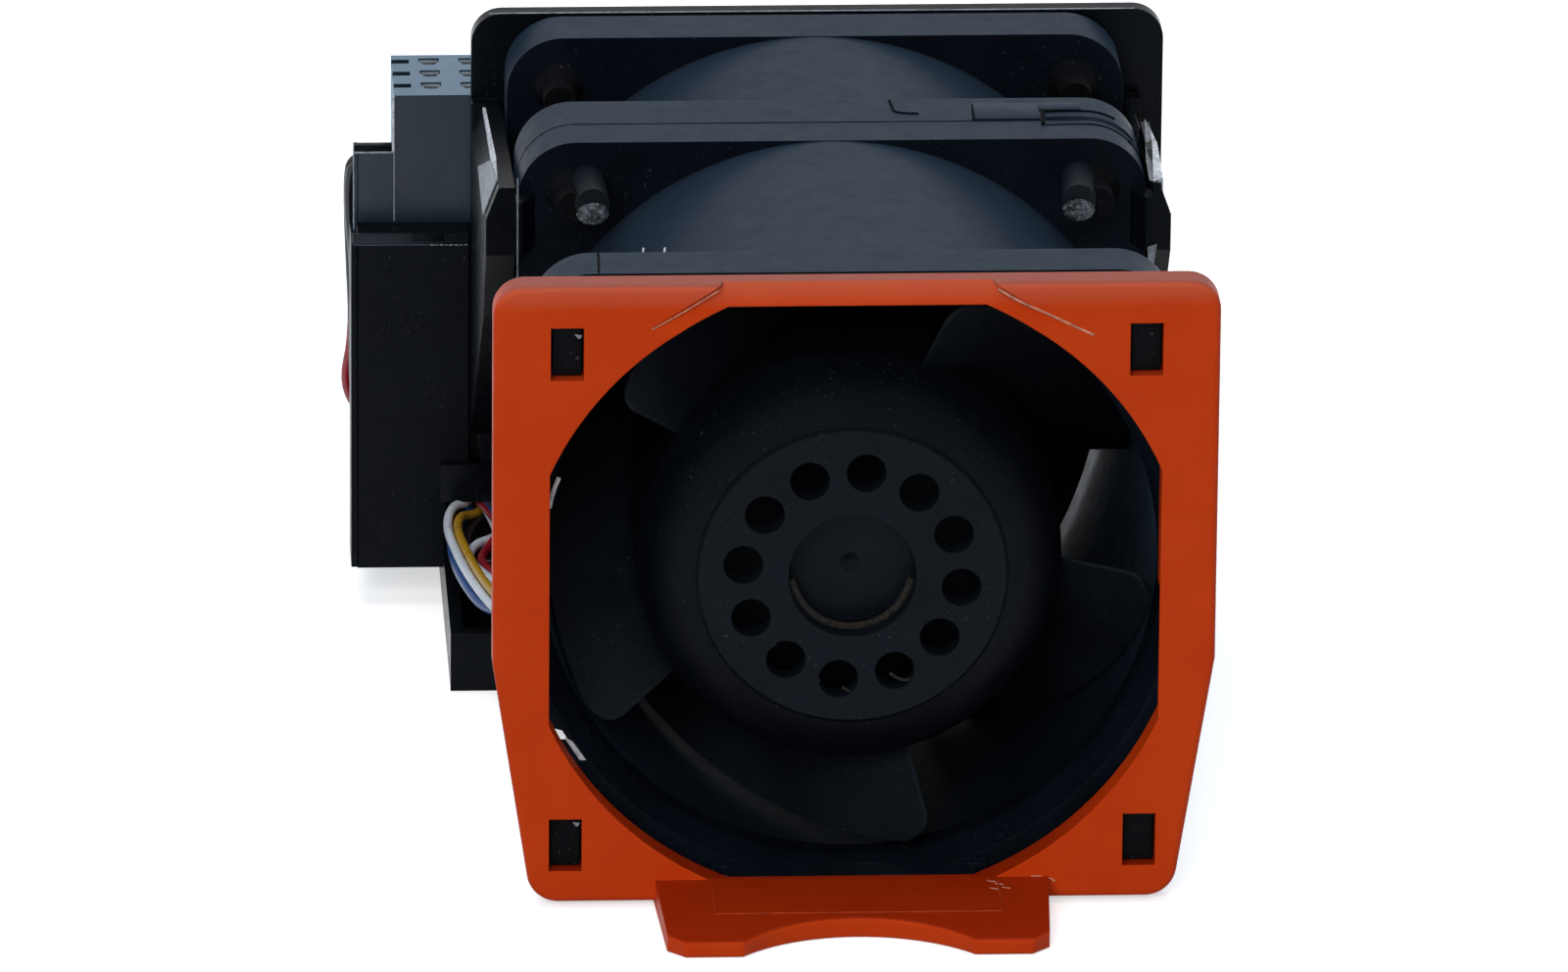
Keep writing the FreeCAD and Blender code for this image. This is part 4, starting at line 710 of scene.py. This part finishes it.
def arm_details(black, pale_mark, pale, shade):
    """Painted glints: pale and grey facets along both arms' bevels, a rib on the right one, and pale lines
    on the edges of flange and hooks as painted highlights."""
    # painted glints on the arms' bevels, pale and mid grey
    facet("left_arm_glint", arm_places(LEFT, (3.1, 22.5, 20.83), (2.16, 13.87, 24.45), (2.0, 2.9, 26.25),
                                      (3.32, 2.8, 22.7)), pale_mark)
    facet("left_arm_ridge", arm_places(LEFT, (2.16, 38.9, 21.3), (1.95, 36.6, 22.05), (1.75, 13.9, 24.8),
                                       (1.98, 3.3, 26.1), (2.2, 14.7, 24.2)), pale, depth=0.08)
    facet("right_arm_cheek", arm_places(RIGHT, (0.85, 17.7, 26.82), (1.22, 14.7, 26.77), (0.9, 7.7, 27.15),
                                        (0.5, 0.7, 26.31), (0.1, 0.7, 26.45), (0.15, 5.7, 26.65)), shade)
    facet("right_arm_bevel", arm_places(RIGHT, (1.22, 14.7, 26.77), (1.42, 8.7, 27.4), (1.51, 1.7, 26.19),
                                        (1.48, 0.7, 23.65), (0.5, 0.7, 26.31), (0.9, 7.7, 27.15)), pale)
    rib = arm_places(RIGHT, (0.45, 20.7, 22.6), (0.45, 17.7, 26.5), (0.45, 8.7, 26.8),
                     (0.45, 0.7, 25.9), (0.45, 0.7, 22.6))
    facet("right_arm_rib", rib, black, depth=0.85, back=(1, 0, 0))
    # painted highlight under the right hook
    facet("right_hook_underside", arm_places(RIGHT, (-0.03, -0.2, 19.96), (0.89, -0.2, 20.26),
                                             (0.57, -0.2, 17.99), (0.07, -0.2, 17.99)), pale_mark, depth=0.05)
    # painted highlights along the flange's and the hook's edges
    flange = arm_places(LEFT, (0.08, 2.54, 26.0), (0.08, 2.5, 21.0), (0.08, 2.54, 16.0))
    tube("flange_edge_highlight", flange, 0.09, pale_mark)
    hook = arm_places(LEFT, (0.2, -0.15, 27.4), (0.18, -0.18, 22.0), (0.18, -0.15, 18.6))
    tube("hook_edge_highlight", hook, 0.08, pale_mark)


def plate_edge(material):
    """Painted highlight along the rear plate's top edge."""
    reach = FLANGE_EDGE + 1.5
    places = [(x, PLATE_FRONT + 0.1, PLATE_TOP - 0.02) for x in (-reach, 0, reach)]
    tube("plate_top_edge", places, 0.1, material)


def notch_cover(material):
    """Web that closes the upper part of the carrier's notch above the leads."""
    rounded_block("notch_cover", (-FLANGE_EDGE - 6.2, PLATE_FRONT - 0.8, -20.35),
                  (-FLANGE_EDGE - 1.0, PLATE_FRONT - 0.05, -16.4), 0.15, material)


def recess_plugs(material):
    """Ends of the fan's ledge, which close the corners of the bezel's recess."""
    for number, side in enumerate((LEFT, RIGHT)):
        ends = sorted((11.3 * side, 12.9 * side))
        rounded_block("recess_plug_%d" % number, (ends[0], BEZEL_BACK + 0.7, -FLANGE_EDGE + 0.2),
                      (ends[1], BEZEL_BACK + 1.95, -FLANGE_EDGE + 1.25), 0.1, material)


def connector_trim(dark, slate, shade, pale, pale_mark):
    """Lid of the connector's shoulder, painted highlights on its edges, and on the housing's ledge a
    painted shade strip, a painted shadow band and painted glints.
    """
    outer = HOUSING_LEFT
    lid = BLOCK_TOP - 5.78            # underside of the lid
    ledge = HOUSING_TOP - 1.1
    cheek_back = BLOCK_FRONT + 3.1
    rounded_block("shoulder_lid", (outer - 0.27, BLOCK_FRONT - 0.05, lid),
                  (outer + 3.65, BLOCK_FRONT + 1.1, lid + 0.63), 0.1, dark)
    rounded_block("shoulder_cheek", (outer - 0.27, BLOCK_FRONT - 0.05, ledge),
                  (outer + 0.2, cheek_back, lid), 0.1, slate)
    rounded_block("housing_cheek", (outer - 0.62, PLATE_FRONT, HOUSING_BOTTOM + 0.05),
                  (outer + 0.2, cheek_back, ledge + 0.1), 0.12, dark)
    # greyer strip painted as the ledge's shaded face
    rounded_block("housing_ledge", (outer - 0.5, PLATE_FRONT - 0.08, ledge),
                  (outer + 8.4, PLATE_FRONT + 0.3, HOUSING_TOP + 0.02), 0.05, shade)
    # painted shadow band over the ledge's right part
    rounded_block("housing_ledge_shadow", (outer + 5.3, PLATE_FRONT - 0.12, ledge + 0.3),
                  (outer + 8.45, PLATE_FRONT + 0.2, HOUSING_TOP + 0.04), 0.05, dark)

    def on_front(*places):
        """Places just ahead of the connector's front: inwards from its outer side, and height."""
        return [(outer + inwards, BLOCK_FRONT - 0.1, height) for inwards, height in places]

    low = HOUSING_TOP + 0.2
    middle = HOUSING_TOP + 3.6
    # pale lines on the shoulder's and tower's edges: painted highlights
    tube("shoulder_edge", on_front((-0.2, lid - 0.06), (1.7, lid - 0.06), (3.6, lid - 0.06)), 0.11, pale_mark)
    tower = on_front((3.62, lid + 0.08), (3.6, BLOCK_TOP - 2.9), (3.6, BLOCK_TOP - 0.1))
    tube("tower_edge", tower, 0.15, pale)
    tube("tower_edge_low", on_front((3.7, low), (3.7, middle), (3.7, lid + 0.08)), 0.08, pale_mark)
    tube("shoulder_side_edge", on_front((-0.25, low), (-0.25, middle), (-0.25, lid - 0.12)), 0.07, pale_mark)

    def on_ledge(inwards, ahead, up):
        return (outer + inwards, PLATE_FRONT - ahead, ledge + up)

    # painted glints along the ledge's front edge, broken up like grit
    for number in range(9):
        inwards = 6.7 + 0.47 * number
        wave = 0.06 * math.sin(2.3 * number)
        places = [on_ledge(inwards, 0.1, -0.08 + wave), on_ledge(inwards + 0.16, 0.14, -wave),
                  on_ledge(inwards + 0.3, 0.1, -0.06)]
        tube("ledge_glint_%d" % number, places, 0.03 + 0.03 * abs(math.sin(1.7 * number)), pale_mark)
    edge = [on_ledge(-0.3, 0.1, -0.02), on_ledge(3.3, 0.12, -0.02), on_ledge(8.3, 0.1, -0.04)]
    tube("ledge_edge", edge, 0.045, slate)


SOCKET_HALF_WIDTH = 0.92
SOCKET_COLUMN_SPACE = 3.9
SOCKET_ROW_SPACE = 3.7


def socket_linings(material):
    """Pale inner wall of each socket, which fills most of its mouth, painted light as the lit far wall."""
    for row in range(3):
        for column in range(2):
            x = HOUSING_LEFT + 7.4 + SOCKET_COLUMN_SPACE * column
            y = BLOCK_FRONT + 3.0 + SOCKET_ROW_SPACE * row
            rounded_block("socket_lining_%d_%d" % (row, column),
                          (x - SOCKET_HALF_WIDTH, y + 0.1, BLOCK_TOP - 3.0),
                          (x + SOCKET_HALF_WIDTH, y + 0.9, BLOCK_TOP - 0.12), 0.05, material, segments=1)


# ---------------------------------------------------------------- fan nose
HOLE_CIRCLE = 10.33               # radius of the ring of holes in the nose
HOLE_EDGE = 1.85                  # radius of one hole
NOSE_RECESS = 5.8                 # radius of the recess in the nose


def nose_dust(material):
    """Dust caked in the lower half of the nose's recess and in the lower holes."""
    recess = [(NOSE_RECESS * math.sin(math.radians(angle)), NOSE + 1.9,
               -NOSE_RECESS * math.cos(math.radians(angle))) for angle in range(-80, 81, 20)]
    tube("nose_dust", recess, 0.36, material, sides=8, rides="front_rotor")
    for number, angle in enumerate((150, 176, 205, 236)):
        middle_x = HOLE_CIRCLE * math.sin(math.radians(angle))
        middle_z = HOLE_CIRCLE * math.cos(math.radians(angle))
        rim = [(middle_x + HOLE_EDGE * math.sin(math.radians(turn)), NOSE + 0.7,
                middle_z - HOLE_EDGE * math.cos(math.radians(turn))) for turn in (-55, -20, 15, 50)]
        tube("hole_dust_%d" % number, rim, 0.16, material, rides="front_rotor")


# ---------------------------------------------------------------- bezel
TAB_TOP = -28.7                   # tab's upper face where it leaves the bezel
TAB_SLOPE = 0.083
INSERT_LEFT = -13.2               # lines left by the tab's mould insert
INSERT_RIGHT = 13.7
INSERT_FRONT = -7.3
INSERT_BACK = -0.4


def on_tab(x, y):
    """Place just above the tab's upper face."""
    return (x, y, TAB_TOP + TAB_SLOPE * y + 0.01)


def tab_marks(witness, pale_mark):
    """Witness lines of a mould insert on the tab, and rubbed spots at its roots."""
    for name, x in (("left", INSERT_LEFT), ("right", INSERT_RIGHT)):
        line = [on_tab(x, y) for y in (INSERT_BACK, -4.0, INSERT_FRONT)]
        tube("tab_witness_" + name, line, 0.06, witness)
    front = [on_tab(x, INSERT_FRONT) for x in (INSERT_LEFT, 0, INSERT_RIGHT)]
    tube("tab_witness_front", front, 0.06, witness)
    root = [(16.9, -0.02, TAB_TOP), (18.6, -0.02, TAB_TOP), (19.1, -0.02, TAB_TOP - 0.5)]
    tube("tab_root_mark", root, 0.07, pale_mark)
    for number, (x, y) in enumerate(((12.7, -0.8), (13.4, -1.4), (14.0, -2.2), (12.9, -2.4))):
        places = [on_tab(x, y), on_tab(x + 0.3, y - 0.25), on_tab(x + 0.75, y - 0.3)]
        tube("tab_scratch_%d" % number, places, 0.04, pale_mark)


def recess_ridges(pale_mark):
    """Ridges where the bezel's face steps down to the opening's upper flat: the right one rubbed pale, the
    left one a painted highlight.
    """
    right = [(13.05, 0.0, 29.9), (14.9, -0.02, 28.7), (17.6, -0.02, 27.5), (20.5, -0.02, 26.05),
             (22.0, 0.0, 25.3)]
    tube("recess_ridge_right", right, 0.13, pale_mark)
    # painted highlight along the left ridge
    left = [(-12.97, 0.0, 30.0), (-15.6, -0.02, 28.3), (-17.6, -0.02, 27.1), (-19.2, 0.0, 26.2)]
    tube("recess_ridge_left", left, 0.07, pale_mark)


def chips(material):
    """Pale bits in two of the bezel's slots and at the root of a blade."""
    for number, z in enumerate((25.0, -23.6)):
        corners = [(-26.3, 1.0, z + 0.45), (-25.6, 1.0, z + 0.35), (-25.75, 1.0, z + 0.1),
                   (-25.95, 1.0, z)]
        facet("slot_pale_bit_%d" % number, corners, material, depth=0.3)
    for number, (x, z) in enumerate(((-14.5, 10.85), (-13.7, 12.0))):
        places = [(x - 0.25, NOSE + 11.7, z - 0.42), (x, NOSE + 11.6, z), (x + 0.2, NOSE + 11.7, z + 0.35)]
        tube("blade_root_fleck_%d" % number, places, 0.12, material, rides="front_rotor")


def inlet_gleam(material):
    """Pale strips for the light that comes past the inlet lip, beside the opening's left flat."""
    lip = BEZEL_BACK + 1.9
    tube("inlet_lip_edge", [(-28.45, lip, 6.9), (-28.2, lip, 8.4), (-27.55, lip, 9.9)], 0.22, material)
    facet("inlet_gap_gleam", [(-26.95, lip, -16.1), (-26.2, lip, -16.5), (-24.9, lip, -18.4),
                              (-25.5, lip, -18.4)], material, depth=0.05)


# ---------------------------------------------------------------- leads
LEAD_RADIUS = 0.45
LEAD_SPACE = 1.0                  # between the middles of neighbouring leads
BOARD_TERMINAL = 9.0              # distance of the solder posts from the axis
BOARD_LEVEL = {"front": 46.25, "rear": 50.45}
EXIT_SLOPE = {"front": -30.3, "rear": -35.6}      # degrees, from the axis out to the left
FAN_MOUTH = -29.0                 # where the leads come out of the fan, across

# leads from the fan's side to the carrier's notch, one line of stations for each colour
FRONT_LOOPS = {
    "white": [(-30.5, 48.5, -19.2), (-30.5, 55.0, -19.9), (-31.9, 59.5, -20.4), (-33.3, 64.0, -20.8),
              (-33.9, 68.3, -21.3), (-33.0, 71.8, -21.2), (-31.2, 74.0, -21.5), (-30.5, 77.0, -21.9)],
    "red": [(-30.5, 48.5, -18.2), (-30.5, 55.0, -18.9), (-31.1, 60.0, -20.4), (-32.3, 64.5, -21.0),
            (-32.7, 68.3, -21.5), (-31.9, 71.3, -21.6), (-30.8, 73.5, -21.0), (-30.5, 77.0, -20.9)],
    "blue": [(-30.5, 48.5, -17.2), (-30.5, 60.0, -18.6), (-30.7, 68.0, -19.7), (-30.5, 77.0, -19.9)],
    "black": [(-30.5, 48.5, -16.2), (-30.5, 60.0, -17.4), (-30.6, 68.0, -18.4), (-30.5, 77.0, -18.9)],
}
REAR_LOOPS = {
    "white": [(-32.2, 55.5, -21.5), (-33.9, 61.0, -20.9), (-35.1, 68.0, -20.6), (-35.8, 75.5, -20.8),
              (-35.1, 80.3, -20.4), (-33.6, 82.4, -20.8), (-32.9, 84.5, -20.9)],
    "yellow": [(-31.6, 55.5, -20.7), (-33.1, 61.0, -20.4), (-34.2, 68.0, -20.3), (-34.8, 75.0, -20.8),
               (-34.3, 79.2, -21.0), (-33.2, 81.2, -21.7), (-32.2, 83.0, -22.0), (-32.0, 84.6, -21.6)],
    "blue": [(-32.4, 55.5, -22.4), (-34.3, 61.0, -21.8), (-35.4, 68.0, -21.4), (-35.3, 75.5, -21.8),
             (-34.3, 80.0, -22.0), (-33.3, 82.5, -22.2), (-33.0, 84.6, -22.0)],
    "black": [(-31.7, 55.5, -21.9), (-33.2, 61.0, -21.6), (-34.0, 68.0, -21.5), (-33.9, 75.5, -22.1),
              (-33.0, 80.0, -22.4), (-31.4, 82.5, -22.3), (-31.6, 84.6, -22.3)],
}
# place of each colour in its bundle as it rises at the outer side of the connector housing:
# rows towards the front, and columns outwards
RISING = {
    "front": {"white": (-0.5, -0.5), "blue": (0.5, -0.5), "black": (0.5, 0.5), "red": (-0.5, 0.45)},
    "rear": {"white": (-0.5, -0.5), "yellow": (0.5, -0.5), "blue": (-0.5, 0.5), "black": (0.5, 0.5)},
}
RED_BULGE = 1.1                   # the red lead stands out at one station of its rise
BULGE_STATION = 4
LAST_FLAT_STATION = 2             # up to here the bundle still runs flat
LAST_STEEP_STATION = 7            # past here it turns into the connector
LOW_ENTRY_STATION = 7             # from here the red and blue leads keep lower
TURN_SHARE = 0.3                  # how far a lead's place in the bundle counts on a turn
# middle of each bundle: x, y, z
FRONT_RISE = [(-33.4, 87.5, -20.6), (-35.0, 91.4, -19.6), (-39.0, 93.3, -17.2), (-42.9, 93.2, -16.0),
              (-44.0, 93.2, -12.3), (-43.9, 93.2, -7.0), (-44.4, 93.2, 4.0), (-44.5, 93.2, 9.6),
              (-44.1, 93.2, 11.6), (-42.6, 93.2, 11.8)]
REAR_RISE = [(-34.0, 86.8, -20.2), (-37.6, 89.6, -19.2), (-41.2, 90.4, -16.6), (-43.4, 90.3, -12.0),
             (-43.9, 90.3, -5.5), (-43.9, 90.3, 1.5), (-44.4, 90.3, 6.0), (-44.5, 90.3, 10.0),
             (-44.1, 90.3, 11.9), (-42.6, 90.3, 12.0)]


def rising_place(fan, colour, number, middle):
    """Place of one lead at a station of its bundle's rise, given the bundle's middle there."""
    x, y, z = middle
    row, column = RISING[fan][colour]
    outer = column * LEAD_SPACE
    if colour == "red" and number == BULGE_STATION:
        outer += RED_BULGE
    side = outer
    up = 0
    if number <= LAST_FLAT_STATION:
        side = TURN_SHARE * outer
        up = -outer
    elif number > LAST_STEEP_STATION:
        up = TURN_SHARE * outer
    if colour in ("red", "blue") and number >= LOW_ENTRY_STATION:
        up -= LEAD_SPACE
    return (x - side, y - row * LEAD_SPACE, z + up)


def model_leads(insulation):
    """The eight leads, soft and round, in place of the plain ones."""
    for fan, loops, rise in (("front", FRONT_LOOPS, FRONT_RISE), ("rear", REAR_LOOPS, REAR_RISE)):
        slope = math.radians(EXIT_SLOPE[fan])
        outward = Vector((-math.cos(slope), 0, math.sin(slope)))
        for lane, colour in enumerate(loops):
            across = (1.5 - lane) * LEAD_SPACE
            stations = []
            for reach in (BOARD_TERMINAL, BOARD_TERMINAL + 9, FAN_MOUTH / outward.x):
                stations.append((outward.x * reach + outward.z * across, BOARD_LEVEL[fan],
                                 outward.z * reach + outward.x * across))
            stations += loops[colour]
            stations += [rising_place(fan, colour, number, middle) for number, middle in enumerate(rise)]
            name = "%s_lead_%s" % (fan, colour)
            piece = tube("soft_" + name, stations, LEAD_RADIUS, insulation[colour])
            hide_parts(name)


# ---------------------------------------------------------------- floor and light
FLOOR_GLOW = 0.55
TENT_COLOUR = (0.58, 0.76, 1.0, 1.0)


def seen_background(tree):
    """1 for camera, glossy and transmission rays, which show the white background."""
    path = tree.nodes.new("ShaderNodeLightPath")
    seen = path.outputs["Is Camera Ray"]
    for kind in ("Is Glossy Ray", "Is Transmission Ray"):
        either = tree.nodes.new("ShaderNodeMath")
        either.operation = "MAXIMUM"
        tree.links.new(seen, either.inputs[0])
        tree.links.new(path.outputs[kind], either.inputs[1])
        seen = either.outputs[0]
    return seen


def make_floor():
    """Paper under the module: bright to the camera, with the module's shadow on it, and a
    darker grey in what the module reflects."""
    bpy.ops.object.select_all(action="DESELECT")
    low = CAD_BOX[0].z
    bpy.ops.mesh.primitive_plane_add(size=6.0, location=(0, 0, low - 0.02 * MM))
    floor = bpy.context.active_object
    floor.name = "floor"
    nodes = Nodes("floor_paper")
    drift = nodes.ramp(nodes.noise(60.0, 2.0), 0.3, 0.7)
    tint = nodes.mix(drift, (0.30, 0.31, 0.32, 1.0), (0.33, 0.34, 0.35, 1.0))
    nodes.finish(Base_Color=tint, Roughness=0.9)
    paper = nodes.add("ShaderNodeBsdfDiffuse", Color=(0.95, 0.95, 0.95, 1.0))
    glow = nodes.add("ShaderNodeEmission", Strength=FLOOR_GLOW)
    bright = nodes.add("ShaderNodeAddShader")
    nodes.join(paper.outputs[0], bright.inputs[0])
    nodes.join(glow.outputs[0], bright.inputs[1])
    mix = nodes.add("ShaderNodeMixShader")
    nodes.join(seen_background(nodes.tree), mix.inputs["Fac"])
    nodes.join(nodes.shader.outputs[0], mix.inputs[1])
    nodes.join(bright.outputs[0], mix.inputs[2])
    nodes.join(mix.outputs[0], nodes.tree.nodes["Material Output"].inputs["Surface"])
    floor.data.materials.append(nodes.material)


def make_world(front, back):
    """Light tent: dim in front of the module, bright behind it, and white where the
    background is seen or mirrored."""
    world = bpy.data.worlds.new("studio")
    bpy.context.scene.world = world
    world.use_nodes = True
    tree = world.node_tree
    tree.nodes.clear()
    direction = tree.nodes.new("ShaderNodeTexCoord")
    split = tree.nodes.new("ShaderNodeSeparateXYZ")
    level = tree.nodes.new("ShaderNodeMapRange")
    level.inputs["From Min"].default_value = 0.0
    level.inputs["From Max"].default_value = 0.8
    level.inputs["To Min"].default_value = front
    level.inputs["To Max"].default_value = back
    grey = tree.nodes.new("ShaderNodeBackground")
    grey.inputs["Color"].default_value = TENT_COLOUR
    white = tree.nodes.new("ShaderNodeBackground")
    white.inputs["Strength"].default_value = 1.0
    mix = tree.nodes.new("ShaderNodeMixShader")
    output = tree.nodes.new("ShaderNodeOutputWorld")
    tree.links.new(direction.outputs["Generated"], split.inputs[0])
    tree.links.new(split.outputs["Y"], level.inputs["Value"])
    tree.links.new(level.outputs["Result"], grey.inputs["Strength"])
    tree.links.new(seen_background(tree), mix.inputs["Fac"])
    tree.links.new(grey.outputs[0], mix.inputs[1])
    tree.links.new(white.outputs[0], mix.inputs[2])
    tree.links.new(mix.outputs[0], output.inputs["Surface"])


def softbox(name, place, aim, width, height, power):
    """Rectangular lamp that lights the module but isn't mirrored in it."""
    data = bpy.data.lights.new(name, "AREA")
    data.shape = "RECTANGLE"
    data.size = width
    data.size_y = height
    data.energy = power
    lamp = bpy.data.objects.new(name, data)
    bpy.context.scene.collection.objects.link(lamp)
    lamp.location = place
    lamp.visible_glossy = False
    lamp.rotation_mode = "QUATERNION"
    lamp.rotation_quaternion = (Vector(aim) - Vector(place)).to_track_quat("-Z", "Y")


def make_lights():
    middle = (0, 0.04, 0)
    softbox("top_softbox", (-0.05, 0.15, 1.1), middle, width=0.9, height=0.7, power=6.5)
    softbox("front_softbox", (-0.35, -1.3, 0.75), middle, width=0.9, height=0.8, power=15.0)
    make_world(front=0.13, back=0.95)


# ---------------------------------------------------------------- the scene
make_camera()
FINISH = dress_nodes()
model_leads(FINISH["leads"])
GRIME_AND_SHADOW = shadow_gap()
# pale grey and pale white for painted highlights, glints and other pale marks; rubbed orange for wear on
# the tab
PALE_GREY = pale_wear_and_highlight("pale_grey", linear(140, 148, 156))
PALE = pale_wear_and_highlight("pale_white", linear(214, 217, 221))
PINK = pale_wear_and_highlight("rubbed_orange", linear(224, 170, 150))
seam_joint(GRIME_AND_SHADOW)
latch(FINISH["black"], GRIME_AND_SHADOW)
intake_clip(GRIME_AND_SHADOW, PALE)
torn_rivet_ends(slate_rubber(), torn_rubber())
arm_details(FINISH["carrier"], PALE_GREY, PALE, pale_wear_and_highlight("shaded_grey", linear(110, 116, 122)))
plate_edge(pale_wear_and_highlight("plate_edge_highlight", linear(150, 155, 165)))
notch_cover(FINISH["carrier"])
recess_plugs(FINISH["black"])
connector_trim(FINISH["carrier"], FINISH["connector"], ledge_shade(), PALE, PALE_GREY)
socket_linings(pale_wear_and_highlight("socket_wall_light", linear(96, 106, 114)))
nose_dust(caked_dust())
tab_marks(pale_wear_and_highlight("witness_orange", linear(176, 62, 22)), PINK)
recess_ridges(pale_wear_and_highlight("chalked_orange_and_highlight", linear(214, 142, 112)))
chips(PALE_GREY)
inlet_gleam(PALE)
make_floor()
make_lights()
bpy.context.scene.view_settings.view_transform = "Standard"
